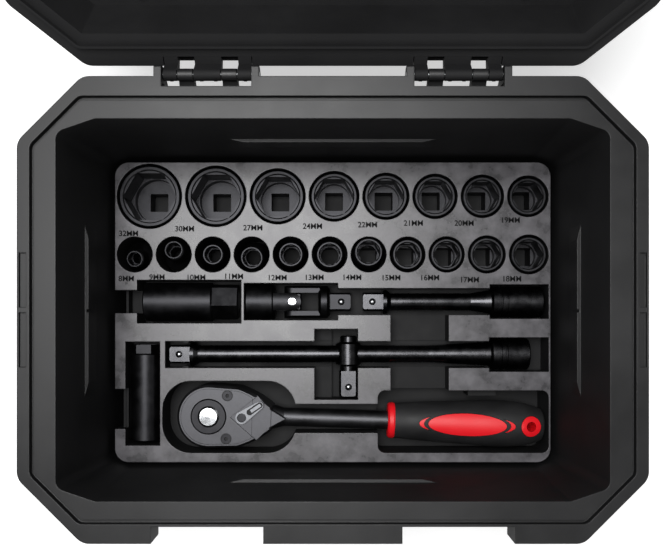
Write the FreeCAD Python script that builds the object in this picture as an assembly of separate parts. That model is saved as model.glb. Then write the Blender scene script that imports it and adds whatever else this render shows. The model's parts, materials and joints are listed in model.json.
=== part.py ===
import math
import os

import FreeCAD
import Part

Vector = FreeCAD.Vector

# Case, millimetres. X runs along the front, Y to the hinged back, Z up from the underside.
# Its width and depth follow from the tools that the tray holds.
rim_corner_cut = 36.5
rim_corner_radius = 10.0
foot_height = 3.0
foot_inset = 12.0
floor_thickness = 3.0
wall_thickness = 3.0
flange_thickness = 3.2
skirt_height = 20.0
skirt_thickness = 2.4

# Cavity of the base: room round the tray at the floor, and how far the walls lean out to the mouth.
tray_side_room = 3.5
wall_draft_x = 1.75
wall_draft_y = 0.5
floor_cut_x = 11.0
floor_cut_y = 3.75
mouth_cut_x = 22.0
mouth_cut_y = 7.5
mouth_radius = 6.0

# Rim from the mouth outwards: inner ledge, groove for the lid, outer lip.
ledge_side = 12.35
ledge_front = 10.35
lip_side = 7.0
lip_front = 11.0
groove_corner_cut = 27.5
groove_radius = 6.0
groove_width = 2.4
groove_depth = 4.0
groove_floor = 2.5
tongue_clearance = 0.5
rim_gap = 0.4

# Blind pockets in the side lips, and the gussets under the flange.
lip_pocket_width = 4.0
lip_pocket_length = 30.7
lip_pocket_web = 2.8
lip_pocket_depth = 2.0
lip_pocket_edge = 1.1
gusset_thickness = 3.0
gusset_height = 46.0
gusset_latch_room = 16.5
gusset_spread_y = 72.0

# Outside of the base below the flange: the gussets run down as ribs, crossed by a belt.
rib_low = 9.0
rib_reach = 2.6
belt_low = 62.0
belt_height = 3.2
belt_reach = 2.0

# Ledges inside the base walls for a lift-out tote.
ledge_drop = 50.0
ledge_height = 24.0
side_ledge_length = 107.6
side_ledge_reach = 2.4
end_ledge_length = 130.0
end_ledge_reach = 2.0
ledge_ramp = 9.0
ledge_split = 1.8

# Hinges.
hinge_offset_x = 71.0
hinge_axis_back = 2.4
hinge_axis_drop = 5.7
hinge_span = 49.6
hinge_end_knuckle = 7.6
hinge_base_knuckle = 8.6
hinge_gap = 0.5
hinge_barrel_radius = 3.4
hinge_pin_radius = 1.6
hinge_pin_clearance = 0.12
hinge_notch_depth = 5.6
cheek_thickness = 4.2
cheek_reach = 6.8
cheek_height = 11.0
cheek_edge = 1.5
hinge_rib_thickness = 2.0
hinge_rib_spread = 4.0
hinge_rib_rise = 6.0
hinge_rib_proud = 1.2
lid_open_angle = 137.0

# Lid.
lid_height = 33.0
lid_top_thickness = 3.0
lid_edge_height = 7.0
lid_shoulder_inset = 16.0
lid_ledge = 5.5
lid_draft_inset = 4.0
lid_panel_inset = 26.0
lid_panel_depth = 1.2
lid_panel_groove = 3.0
lid_strip_half_length = 104.0
lid_strip_width = 5.0
lid_strip_height = 1.0
lid_strip_places = (-80.0, -68.0, -56.0, 56.0, 68.0, 80.0)
peg_radius = 2.4
peg_height = 4.0
peg_inset_x = 12.0
peg_inset_y = 9.0

# Latches and the recesses they sit in.
latch_offset_x = 70.5
latch_recess_width = 63.0
latch_recess_depth = 9.5
latch_side_gap = 0.6
latch_pivot_inset = 4.6
latch_pivot_rise = 12.0
latch_boss_radius = 4.2
latch_plate_thickness = 3.0
latch_length = 33.0
latch_hook_height = 4.5
latch_hook_reach = 4.2
latch_hook_gap = 0.4
latch_rib_count = 4
latch_rib_width = 2.0
latch_rib_height = 0.9
latch_rib_margin = 8.0
latch_rib_start = 4.0
latch_pin_radius = 1.5
latch_pin_bite = 4.0
catch_reach = 3.2
catch_height = 5.0
catch_side_room = 4.0
catch_edge = 1.5

# Folding carry handle in a recess of the lid's top.
handle_length = 116.0
handle_reach = 31.0
handle_thickness = 8.0
handle_grip_width = 12.0
handle_arm_width = 9.0
handle_corner = 3.2
handle_gap = 0.8
handle_pin_radius = 1.6
handle_recess_floor = 3.0
handle_finger_room = 9.0

# Tool tray.
tray_height = 52.0
row_one_back = 23.25
row_two_pitch = 40.1
row_three_pitch = 32.5
row_four_pitch = 36.5
ratchet_pitch = 43.0
ratchet_front = 31.15
well_web = 1.0
tray_corner = 9.5
tray_shift_y = -0.6
tray_seat_gap = 0.3
rim_above_tray = 101.7
tray_wall = 1.6
tray_deck = 2.4
tray_floor = 1.6
tray_edge_margin = 1.1
seat_gap = 0.3
pocket_play = 0.55

# Square drive shared by all tools.
drive_square = 12.7
drive_chamfer = 1.3
drive_length = 14.5
drive_hole_play = 0.3
drive_hole_depth = 17.0
drive_hole_chamfer = 0.4
drive_tip_share = 0.58
drive_ball_share = 0.55
detent_ball_radius = 2.3
detent_ball_proud = 0.9
detent_play = 0.06

# Sockets: outer diameter grows with the size across flats.
row_one_sizes = (32, 30, 27, 24, 22, 21, 20, 19)
row_two_sizes = (8, 9, 10, 11, 12, 13, 14, 15, 16, 17, 18)
socket_slope = 1.25
socket_base_diameter = 2.5
socket_drive_diameter = 22.3
socket_drive_height = 17.0
socket_taper_height = 4.5
socket_short = 38.0
socket_long = 47.0
socket_short_limit = 19
socket_long_limit = 30
socket_edge = 0.9
socket_ring_height = 7.0
socket_ring_depth = 0.7
socket_ring_width = 2.4
hex_play = 0.25
hex_depth_base = 6.0
hex_depth_slope = 0.55
hex_lead = 0.8
socket_sink = 0.6
socket_lean = {8: 6.0, 9: -6.0, 11: 4.5, 14: -3.0}
well_play = 1.25

# Row three: plug socket, universal joint and short extension on one line.
plug_wide_left = 18.5
plug_wide_size = 21
plug_wide_length = 65.0
plug_wide_diameter = 27.0
plug_wide_hex_length = 17.3
plug_wide_hex_flats = 22.5
plug_wide_roll = 12.0
plug_wide_pocket_length = 72.0
plug_wide_pocket_width = 30.0
plug_hex_depth_share = 0.62
plug_grip_thickness = 2.0
plug_grip_length = 14.0
plug_grip_inset = 9.0

joint_left = 5.7
joint_diameter = 24.5
joint_socket_length = 20.5
joint_pin_reach = 32.7
joint_pocket_length = 64.5
joint_block = 12.0
joint_ear_gap = 0.4
joint_ear_width = 12.0
joint_fork_room = 12.0
joint_drive_hub = 8.0
joint_drive_diameter = 22.5
joint_pin_radius = 2.6
joint_pin_play = 0.08
joint_pocket_width = 25.7

short_bar_left = 17.3
short_bar_right = 4.0
short_bar_length = 125.0
long_bar_left = 36.6
long_bar_right = 13.4
long_bar_length = 250.0
bar_radius = 6.0
bar_shoulder = 5.0
bar_shoulder_radius = 8.2
bar_socket_radius = 11.0
short_bar_socket_length = 36.0
long_bar_socket_length = 27.0
bar_taper_radius = 8.3
bar_step = 1.4
long_bar_taper = 43.0
short_bar_taper = 14.0
bar_groove_width = 1.6
bar_groove_depth = 0.7
bar_groove_slope = 0.3
bar_groove_start = 6.0
bar_groove_pitch = 4.0
bar_edge = 0.8
bar_axis_drop = 10.6
bar_channel_width = 18.6
bar_socket_pocket = 23.8
bar_seat_gap = 1.6
bar_wide_room = 0.9

# Row four: long extension and its sliding head.
t_head_reach = 124.3
t_head_length = 25.6
t_head_radius = 5.75
t_head_boss_radius = 9.0
t_head_boss_length = 14.0
t_head_bar_play = 0.25
t_pocket_left_room = 23.6
t_pocket_right_room = 6.5
t_pocket_back_room = 17.7
t_pocket_front_room = 31.2
t_shelf_room = 11.7
t_shelf_drop = 18.0

plug_narrow_left = 19.0
plug_narrow_back = 16.1
plug_narrow_size = 16
plug_narrow_length = 67.0
plug_narrow_diameter = 22.3
plug_narrow_hex_length = 6.0
plug_narrow_hex_flats = 17.5
plug_narrow_pocket_length = 71.8
plug_narrow_pocket_width = 24.0

# Ratchet, in its own frame: the drive is at the origin and the handle runs along X.
ratchet_left = 64.1
ratchet_right = 2.1
ratchet_turn = -1.77
ratchet_axis_drop = 14.2
head_radius = 21.8
head_half_height = 13.0
head_flat_x = 20.0
head_flat_half = 20.9
head_mid_x = 33.0
head_mid_half = 15.4
head_neck_x = 43.7
head_neck_half = 8.2
head_edge = 1.6
shank_radius = 6.5
neck_start_radius = 11.0
neck_length = 16.0
neck_sink = 8.0
shank_sink = 6.0
shank_end_x = 124.4
tang_radius = 5.0
tang_end_x = 196.0
cover_thickness = 2.6
cover_gap = 0.2
cover_inset = 2.6
cover_right_x = 30.0
cover_notch_apex_x = 14.9
cover_notch_half_angle = 40.0
cover_notch_reach = 24.0
cover_notch_tip_share = 1.4
cover_screw_x = 12.6
cover_screw_y = 14.9
cover_screw_head_radius = 3.2
cover_screw_head_height = 1.8
cover_screw_radius = 1.6
cover_screw_length = 7.0
cover_screw_hex = 2.5
screw_play = 0.15
gear_teeth = 36
gear_radius = 14.4
gear_tooth_depth = 1.2
gear_half_height = 6.0
spindle_radius = 12.1
spindle_play = 0.3
spindle_proud = 0.4
gear_square_length = 16.0
button_radius = 7.2
button_play = 0.2
button_proud = 1.3
button_edge = 1.2
button_dome = 0.2
button_height = 8.0
button_stem_radius = 2.6
button_stem_length = 28.0
spring_wire = 0.8
spring_turns = 3.5
spring_radius = 5.0
spring_height = 5.0
spring_seat = 0.2
pawl_pivot_x = 23.0
pawl_half_height = 4.5
pawl_tip_angle = 20.0
pawl_tip_gap = 0.3
pawl_face_x = 15.7
pawl_tooth_half = 1.3
pawl_half_width = 7.2
pawl_hub_radius = 4.0
pawl_bore_play = 0.15
pawl_swing = 16.0
pawl_room_side = 2.4
pawl_room_back = 1.2
pawl_room_front = 3.0
lever_shaft_radius = 2.4
lever_disc_radius = 4.3
lever_tip_radius = 2.6
lever_length = 15.0
lever_thickness = 2.6
lever_angle = 36.6
lever_grip_height = 1.4
lever_grip_length = 8.0
lever_grip_half = 1.1
lever_step = 0.9
detent_radius = 1.8
detent_gap = 0.15
detent_spring_length = 8.0
detent_spring_wire = 0.5
detent_spring_turns = 6.5

# Grip of the ratchet: stations along the handle from its red collar to its rounded end.
collar_length = 4.8
collar_radius = 12.6
collar_edge = 1.2
grip_end_x = 233.8
grip_neck_radius = 12.2
grip_waist_x = 141.0
grip_waist_radius = 13.2
grip_belly_x = 184.0
grip_belly_radius = 15.6
grip_tail_x = 222.0
grip_tail_radius = 14.4
grip_end_radius = 11.2
grip_core_radius = 9.0
grip_bore_play = 0.15
pad_x = 178.7
pad_half_length = 26.8
pad_half_width = 7.7
pad_gap = 0.25
pad_rise = 0.35
crescent_half_length = 33.2
crescent_half_width = 7.4
crescent_inner_half_length = 29.6
crescent_inner_half_width = 8.6
hang_x = 222.9
hang_radius = 7.0
hang_hole_radius = 3.5

# Tray details beside the tools.
t_pocket_drop = 24.0
notch_inset = 5.4
narrow_notch_inset = 3.6
narrow_notch_front = 24.4
narrow_notch_back = 3.3
notch_wall_drop = 9.0
plug_notch_width = 16.0
plug_notch_drop = 20.0
trough_start = 153.2
trough_length = 40.2
trough_drop = 18.5
head_pocket_left = 31.6
head_pocket_right = 60.6
head_pocket_width = 49.8
head_pocket_radius = 20.0
neck_channel_front = 11.1
neck_channel_back = 9.0
neck_channel_overlap = 8.0
grip_pocket_start = 116.9
grip_pocket_front = 24.8
grip_pocket_back = 18.3
grip_pocket_radius = 5.0
shelf_start = 180.9
shelf_length = 19.5
shelf_depth = 4.6
shelf_drop = 11.0
nub_start = 12.0
nub_length = 5.6
nub_reach = 1.5


def socket_diameter(size):
    """Outer diameter of a socket's nose."""
    return socket_slope * size + socket_base_diameter


def well_radius(size):
    return max(socket_diameter(size), socket_drive_diameter) / 2 + well_play


def row_width(sizes):
    """Least width of a tray that holds one row of sockets."""
    wells = sum(2 * well_radius(size) for size in sizes)
    return wells + (len(sizes) - 1) * well_web + 2 * tray_edge_margin


# The tray is as wide as its widest row, and the rows set its depth. The case follows the tray.
joint_row_width = (plug_wide_left + plug_wide_length + joint_left + joint_pocket_length + short_bar_left
                   + short_bar_length + short_bar_right)
long_row_width = long_bar_left + long_bar_length + long_bar_right
ratchet_row_width = ratchet_left + grip_end_x + ratchet_right
tray_width = max(row_width(row_one_sizes), row_width(row_two_sizes), joint_row_width, long_row_width,
                 ratchet_row_width)
tray_depth = (row_one_back + row_two_pitch + row_three_pitch + row_four_pitch + ratchet_pitch
              + ratchet_front)
floor_width = tray_width + 2 * tray_side_room
floor_depth = tray_depth + 2 * tray_side_room
mouth_width = floor_width + 2 * wall_draft_x
mouth_depth = floor_depth + 2 * wall_draft_y
rim_width = mouth_width + 2 * (ledge_side + groove_width + lip_side)
rim_depth = mouth_depth + 2 * (ledge_front + groove_width + lip_front)

# Where the rows and the tools lie.
tray_left = -tray_width / 2
row_one_y = tray_depth / 2 - row_one_back
row_two_y = row_one_y - row_two_pitch
row_three_y = row_two_y - row_three_pitch
row_four_y = row_three_y - row_four_pitch
ratchet_y = row_four_y - ratchet_pitch
ratchet_x = tray_left + ratchet_left
plug_wide_start_x = tray_left + plug_wide_left
joint_start_x = plug_wide_start_x + plug_wide_length + joint_left
joint_pin_x = joint_start_x + joint_pin_reach
joint_pocket_end = joint_start_x + joint_pocket_length
short_bar_start_x = joint_pocket_end + short_bar_left
short_pocket_x = short_bar_start_x + short_bar_length - short_bar_socket_length - bar_wide_room
long_bar_start_x = tray_left + long_bar_left
long_pocket_x = long_bar_start_x + long_bar_length - long_bar_socket_length - bar_wide_room
t_head_x = long_bar_start_x + t_head_reach
t_pocket_left = t_head_x - t_pocket_left_room
t_pocket_right = t_head_x + t_pocket_right_room
t_pocket_back = row_four_y + t_pocket_back_room
t_pocket_front = row_four_y - t_pocket_front_room
t_shelf_edge = t_head_x - t_shelf_room
plug_narrow_x = tray_left + plug_narrow_left
plug_narrow_y = ratchet_y + plug_narrow_back
notch_wall_x = tray_left + notch_inset
narrow_notch_wall_x = tray_left + narrow_notch_inset
plug_narrow_notch_front = plug_narrow_y - narrow_notch_front
plug_narrow_notch_back = plug_narrow_y + narrow_notch_back
trough_left = long_bar_start_x + trough_start
trough_right = trough_left + trough_length
grip_pocket_left = ratchet_x + grip_pocket_start
shelf_left = ratchet_x + shelf_start
shelf_right = shelf_left + shelf_length
nub_x = long_bar_start_x + nub_start

# Heights that follow from the sizes above.
floor_top = foot_height + floor_thickness
tray_bottom = floor_top + tray_seat_gap
tray_top = tray_bottom + tray_height
rim_z = tray_top + rim_above_tray
hinge_y = rim_depth / 2 + hinge_axis_back
hinge_z = rim_z - hinge_axis_drop
lid_low = rim_z + rim_gap
lid_top = lid_low + lid_height

# How far shapes that are joined run into each other, and a cut runs past the face it opens.
overlap = 1.0

X_AXIS = Vector(1, 0, 0)
Y_AXIS = Vector(0, 1, 0)
Z_AXIS = Vector(0, 0, 1)


def box(x_low, x_high, y_low, y_high, z_low, z_high):
    """A box between two corners."""
    return Part.makeBox(x_high - x_low, y_high - y_low, z_high - z_low, Vector(x_low, y_low, z_low))


def rod(radius, start, along, length):
    """A cylinder from a start point along an axis."""
    return Part.makeCylinder(radius, length, start, along)


def fuse(shapes):
    """One solid from several that touch or overlap."""
    return shapes[0].multiFuse(shapes[1:]).removeSplitter()


def rounded_wire(corners, radius, z):
    """A closed wire through corner points, each corner rounded by the same radius."""
    points = [Vector(x, y, z) for x, y in corners]
    edges = []
    arcs = []
    for index, corner in enumerate(points):
        before = (points[index - 1] - corner).normalize()
        after = (points[(index + 1) % len(points)] - corner).normalize()
        half = before.getAngle(after) / 2
        bisector = (before + after).normalize()
        start = corner + before * (radius / math.tan(half))
        end = corner + after * (radius / math.tan(half))
        middle = corner + bisector * (radius / math.sin(half) - radius)
        arcs.append((start, middle, end))
    for index, (start, middle, end) in enumerate(arcs):
        edges.append(Part.Arc(start, middle, end).toShape())
        next_start = arcs[(index + 1) % len(arcs)][0]
        if (next_start - end).Length > 1e-6:
            edges.append(Part.LineSegment(end, next_start).toShape())
    return Part.Wire(edges)


def plate(wire, height):
    """A flat wire extruded upwards."""
    return Part.Face(wire).extrude(Vector(0, 0, height))


def polygon_plate(corners, z_low, z_high):
    """A sharp-cornered outline extruded between two heights."""
    wire = Part.makePolygon([Vector(x, y, z_low) for x, y in corners + corners[:1]])
    return plate(wire, z_high - z_low)


def side_plate(corners, x_low, x_high):
    """An outline in Y and Z extruded along X."""
    wire = Part.makePolygon([Vector(x_low, y, z) for y, z in corners + corners[:1]])
    return Part.Face(wire).extrude(Vector(x_high - x_low, 0, 0))


def revolve(profile):
    """A profile of radius and height points turned about the Z axis."""
    points = [Vector(radius, 0, height) for radius, height in profile]
    wire = Part.makePolygon(points + points[:1])
    return Part.Face(wire).revolve(Vector(0, 0, 0), Z_AXIS, 360)


def hex_prism(flats, z_low, z_high):
    """A hexagon by its size across flats."""
    reach = flats / math.sqrt(3)
    corners = [(reach * math.cos(math.radians(60 * k)), reach * math.sin(math.radians(60 * k)))
               for k in range(6)]
    return polygon_plate(corners, z_low, z_high)


def square_prism(side, chamfer, z_low, z_high):
    """A square drive with its four long edges broken."""
    half = side / 2
    short = half - chamfer
    corners = [(half, -short), (half, short), (short, half), (-short, half),
               (-half, short), (-half, -short), (-short, -half), (short, -half)]
    return polygon_plate(corners, z_low, z_high)


def laid_along_x(shape, x, y, z):
    """A shape built along Z, laid down so that its length runs along X."""
    return shape.rotated(Vector(0, 0, 0), Y_AXIS, 90).translated(Vector(x, y, z))


class Outline:
    """A rectangle with cut and rounded corners, which can be grown evenly."""

    def __init__(self, width, depth, cut_x, cut_y, radius):
        self.width = width
        self.depth = depth
        self.cut_x = cut_x
        self.cut_y = cut_y
        self.radius = radius

    def grown(self, amount):
        """The same outline moved outwards by an even amount."""
        slant = math.hypot(self.cut_x, self.cut_y)
        height = self.cut_x * self.cut_y / slant
        scale = 1 + amount * ((self.cut_x + self.cut_y) / slant - 1) / height
        radius = max(self.radius + amount, 1.0)
        return Outline(self.width + 2 * amount, self.depth + 2 * amount,
                       self.cut_x * scale, self.cut_y * scale, radius)

    def wire(self, z):
        half_x = self.width / 2
        half_y = self.depth / 2
        cut_x = half_x - self.cut_x
        cut_y = half_y - self.cut_y
        corners = [(half_x, -cut_y), (half_x, cut_y), (cut_x, half_y), (-cut_x, half_y),
                   (-half_x, cut_y), (-half_x, -cut_y), (-cut_x, -half_y), (cut_x, -half_y)]
        return rounded_wire(corners, self.radius, z)

    def solid(self, z_low, z_high):
        return plate(self.wire(z_low), z_high - z_low)


def loft(low, z_low, high, z_high):
    """A drafted solid between two outlines."""
    return Part.makeLoft([low.wire(z_low), high.wire(z_high)], True, True)


rim_outline = Outline(rim_width, rim_depth, rim_corner_cut, rim_corner_cut, rim_corner_radius)
groove_outline = Outline(rim_width - 2 * lip_side, rim_depth - 2 * lip_front,
                         groove_corner_cut, groove_corner_cut, groove_radius)
mouth_outline = Outline(mouth_width, mouth_depth, mouth_cut_x, mouth_cut_y, mouth_radius)
floor_outline = Outline(floor_width, floor_depth, floor_cut_x, floor_cut_y, mouth_radius)


def ring(outline, width, z_low, z_high):
    """A band of even width inside an outline."""
    return outline.solid(z_low, z_high).cut(outline.grown(-width).solid(z_low, z_high))


def ledge(length, reach, wall_half, turn):
    """A tote ledge on one wall: flat on top, ramped at its ends, tapering back to the wall below."""
    top = rim_z - ledge_drop
    ledge_wires = []
    for z, out in ((top - ledge_height, 0.0), (top, reach)):
        share = (z - floor_top) / (rim_z - floor_top)
        floor_half, mouth_half = wall_half
        wall = floor_half + (mouth_half - floor_half) * share
        corners = [(-length / 2, wall + wall_thickness / 2), (-length / 2, wall),
                   (-length / 2 + ledge_ramp, wall - out), (length / 2 - ledge_ramp, wall - out),
                   (length / 2, wall), (length / 2, wall + wall_thickness / 2)]
        points = [Vector(x, y, z) for x, y in corners]
        ledge_wires.append(Part.makePolygon(points + points[:1]))
    solid = Part.makeLoft(ledge_wires, True, True)
    return solid.rotated(Vector(0, 0, 0), Z_AXIS, turn)


def tote_ledges():
    """Ledges on all four walls. The side ones are split at their middle."""
    end_half = (floor_depth / 2, mouth_depth / 2)
    side_half = (floor_width / 2, mouth_width / 2)
    ledges = [ledge(end_ledge_length, end_ledge_reach, end_half, turn) for turn in (0, 180)]
    inner = floor_width / 2 - side_ledge_reach
    split = box(-inner - ledge_ramp, inner + ledge_ramp, -ledge_split / 2, ledge_split / 2, floor_top,
                rim_z)
    keep_wall = box(-floor_width / 2, floor_width / 2, -ledge_split, ledge_split, floor_top, rim_z)
    for turn in (90, 270):
        ledges.append(ledge(side_ledge_length, side_ledge_reach, side_half,
                            turn).cut(split.common(keep_wall)))
    return ledges


def gusset_places():
    """Along the front and back, on both sides of each latch."""
    inner = latch_offset_x - latch_recess_width / 2 - gusset_latch_room
    outer = latch_offset_x + latch_recess_width / 2 + gusset_latch_room
    return (-outer, -inner, inner, outer)


def gussets():
    """Upright ribs that brace the flange against the walls and run down to the foot."""
    outer_x = rim_width / 2 - skirt_thickness / 2
    outer_y = rim_depth / 2 - skirt_thickness / 2
    top = rim_z - flange_thickness / 2
    skirt_low = rim_z - skirt_height
    half = gusset_thickness / 2

    def profile(side, wall, outer):
        return [(side * wall, top), (side * outer, top), (side * outer, skirt_low),
                (side * (wall + wall_thickness + rib_reach), top - gusset_height),
                (side * (wall + wall_thickness / 2 + rib_reach), rib_low), (side * wall, rib_low)]

    ribs = []
    for side in (-1, 1):
        for x in gusset_places():
            corners = profile(side, (floor_depth + wall_thickness) / 2, outer_y)
            ribs.append(side_plate(corners, x - half, x + half))
        for y in (-gusset_spread_y, 0.0, gusset_spread_y):
            corners = profile(side, (floor_width + wall_thickness) / 2, outer_x)
            points = [Vector(x, y - half, z) for x, z in corners]
            face = Part.Face(Part.makePolygon(points + points[:1]))
            ribs.append(face.extrude(Vector(0, gusset_thickness, 0)))
    return ribs


def lip_pockets():
    """Blind pockets in the two side lips, two to a side."""
    pockets = []
    near = rim_width / 2 - lip_pocket_edge
    for side in (-1, 1):
        for end in (-1, 1):
            middle = end * (lip_pocket_web + lip_pocket_length) / 2
            x_low = min(side * near, side * (near - lip_pocket_width))
            pockets.append(box(x_low, x_low + lip_pocket_width, middle - lip_pocket_length / 2,
                               middle + lip_pocket_length / 2, rim_z - lip_pocket_depth, rim_z + overlap))
    return pockets


def knuckle_spans():
    """Start and end of each knuckle along one hinge, with the side that carries it."""
    middle = hinge_span - 2 * hinge_end_knuckle - 2 * hinge_base_knuckle - 4 * hinge_gap
    lengths = (hinge_end_knuckle, hinge_base_knuckle, middle, hinge_base_knuckle, hinge_end_knuckle)
    carriers = ("lid", "base", "lid", "base", "lid")
    spans = []
    start = -hinge_span / 2
    for length, carrier in zip(lengths, carriers):
        spans.append((start, start + length, carrier))
        start += length + hinge_gap
    return spans


def hinge_centres():
    return (-hinge_offset_x, hinge_offset_x)


def base_hinge_parts(centre):
    """Cheeks and knuckles that the base carries at one hinge."""
    parts = []
    skirt_low = rim_z - skirt_height
    back = rim_depth / 2
    for side in (-1, 1):
        inner = centre + side * (hinge_span / 2 + hinge_gap)
        outer = inner + side * cheek_thickness
        x_low = min(inner, outer)
        corners = [(back - skirt_thickness, rim_z), (back + cheek_reach - cheek_edge, rim_z),
                   (back + cheek_reach, rim_z - cheek_edge),
                   (back + cheek_reach, rim_z - cheek_height + 2 * cheek_edge),
                   (back, rim_z - skirt_height), (back - skirt_thickness, rim_z - skirt_height)]
        parts.append(side_plate(corners, x_low, x_low + cheek_thickness))
    for start, end, carrier in knuckle_spans():
        if carrier == "base":
            x_low = centre + start
            x_high = centre + end
            parts.append(rod(hinge_barrel_radius, Vector(x_low, hinge_y, hinge_z), X_AXIS, end - start))
            arm_back = hinge_y + hinge_barrel_radius
            inner = back - hinge_notch_depth - skirt_thickness / 2
            corners = [(hinge_y, hinge_z), (arm_back, hinge_z), (arm_back, hinge_z - 4.0),
                       (inner + skirt_thickness, skirt_low), (inner, skirt_low), (inner, hinge_z - 7.0)]
            parts.append(side_plate(corners, x_low, x_high))
    return parts


def hinge_notch(centre, z_low, z_high):
    """The cut in a rim that leaves room for one hinge."""
    half = hinge_span / 2 + hinge_gap
    back = rim_depth / 2
    return box(centre - half, centre + half, back - hinge_notch_depth, back + cheek_reach + overlap,
               z_low, z_high)


def hinge_bore(centre, radius):
    half = hinge_span / 2 + hinge_gap + cheek_thickness
    return rod(radius, Vector(centre - half, hinge_y, hinge_z), X_AXIS, 2 * half)


def latch_centres():
    return (-latch_offset_x, latch_offset_x)


def latch_recess(centre, z_low, z_high):
    front = -rim_depth / 2
    half = latch_recess_width / 2
    return box(centre - half, centre + half, front - overlap, front + latch_recess_depth, z_low, z_high)


def latch_hook_top():
    """Height of the upper face of a closed latch's hook."""
    return lid_low + latch_pivot_rise - latch_length + latch_hook_height


def case_base():
    skirt_low = rim_z - skirt_height
    flange_low = rim_z - flange_thickness
    wall = loft(floor_outline.grown(wall_thickness), foot_height, mouth_outline.grown(wall_thickness),
                rim_z)
    foot = floor_outline.grown(wall_thickness - foot_inset).solid(0, foot_height)
    flange = rim_outline.solid(flange_low, rim_z)
    skirt = ring(rim_outline, skirt_thickness, skirt_low, rim_z)
    channel = ring(groove_outline.grown(groove_floor), groove_width + 2 * groove_floor,
                   rim_z - groove_depth - groove_floor, rim_z)
    belt = floor_outline.grown(wall_thickness + belt_reach).solid(belt_low, belt_low + belt_height)
    solid = fuse([wall, foot, flange, skirt, channel, belt] + gussets())
    for centre in latch_centres():
        solid = solid.cut(latch_recess(centre, skirt_low - gusset_height, rim_z + overlap))
        half = latch_recess_width / 2 + skirt_thickness
        back_wall = -rim_depth / 2 + latch_recess_depth
        lining = box(centre - half, centre + half, -rim_depth / 2 + skirt_thickness / 2,
                     back_wall + skirt_thickness, skirt_low, rim_z - flange_thickness / 2)
        lining = lining.cut(latch_recess(centre, skirt_low - overlap, rim_z + overlap))
        catch_top = latch_hook_top() + latch_hook_gap + catch_height
        catch = side_plate([(back_wall + 0.5, catch_top), (back_wall, catch_top),
                            (back_wall - catch_reach, catch_top - catch_height + catch_edge),
                            (back_wall - catch_reach, catch_top - catch_height),
                            (back_wall + 0.5, catch_top - catch_height)],
                           centre - latch_recess_width / 2 + catch_side_room,
                           centre + latch_recess_width / 2 - catch_side_room)
        solid = fuse([solid, lining, catch])
    for centre in hinge_centres():
        solid = solid.cut(hinge_notch(centre, skirt_low - overlap, rim_z + overlap))
        half = hinge_span / 2 + hinge_gap + cheek_thickness / 2
        back_wall = rim_depth / 2 - hinge_notch_depth
        lining = box(centre - half, centre + half, back_wall - skirt_thickness, back_wall,
                     skirt_low, rim_z - flange_thickness / 2)
        solid = fuse([solid, lining] + base_hinge_parts(centre))
        solid = solid.cut(hinge_bore(centre, hinge_pin_radius + hinge_pin_clearance))
    cavity = loft(floor_outline, floor_top, mouth_outline, rim_z)
    groove = ring(groove_outline, groove_width, rim_z - groove_depth, rim_z + overlap)
    solid = solid.cut(cavity).cut(groove)
    for pocket in lip_pockets():
        solid = solid.cut(pocket)
    return fuse([solid] + tote_ledges())


def hinge_pins():
    """One steel pin through each hinge, held between the base's cheeks."""
    return Part.makeCompound([hinge_bore(centre, hinge_pin_radius) for centre in hinge_centres()])


def lid_opened(shape):
    """A shape of the closed lid, swung open about the hinge pins."""
    return shape.rotated(Vector(0, hinge_y, hinge_z), X_AXIS, -lid_open_angle)


def handle_box():
    """Half width, back and front of the handle's recess in the lid's top."""
    half_x = handle_length / 2 + handle_gap
    back = handle_reach / 2 + handle_grip_width / 2 + handle_finger_room
    front = -handle_reach / 2 - handle_thickness / 2 - handle_gap
    return half_x, back, front


def handle_pivot():
    """Place of the handle's pivot axis in the closed lid."""
    return -handle_reach / 2, lid_top - handle_thickness / 2


def lid_hinge_parts(centre):
    """Knuckles that the lid carries at one hinge, with the arms up to its rim."""
    parts = []
    back = rim_depth / 2
    for start, end, carrier in knuckle_spans():
        if carrier == "lid":
            x_low = centre + start
            x_high = centre + end
            parts.append(rod(hinge_barrel_radius, Vector(x_low, hinge_y, hinge_z), X_AXIS, end - start))
            arm_back = hinge_y + hinge_barrel_radius
            inner = back - hinge_notch_depth - overlap
            low = lid_low + 0.2
            corners = [(hinge_y - hinge_barrel_radius, hinge_z), (arm_back, hinge_z), (arm_back, low),
                       (back, lid_low + lid_edge_height), (inner, lid_low + lid_edge_height),
                       (inner, low),
                       (hinge_y - hinge_barrel_radius, low)]
            parts.append(side_plate(corners, x_low, x_high))
            middle = (x_low + x_high) / 2
            half = hinge_rib_thickness / 2
            rib = [(back - overlap, lid_low + overlap), (arm_back + hinge_rib_proud, hinge_z + overlap),
                   (arm_back + hinge_rib_proud, low + 2.0),
                   (back - overlap, lid_low + lid_edge_height + hinge_rib_rise)]
            wide = x_high - x_low > 2 * hinge_rib_spread + 2 * hinge_rib_thickness
            offsets = (-hinge_rib_spread, hinge_rib_spread) if wide else (0.0,)
            for offset in offsets:
                parts.append(side_plate(rib, middle + offset - half, middle + offset + half))
    return parts


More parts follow.
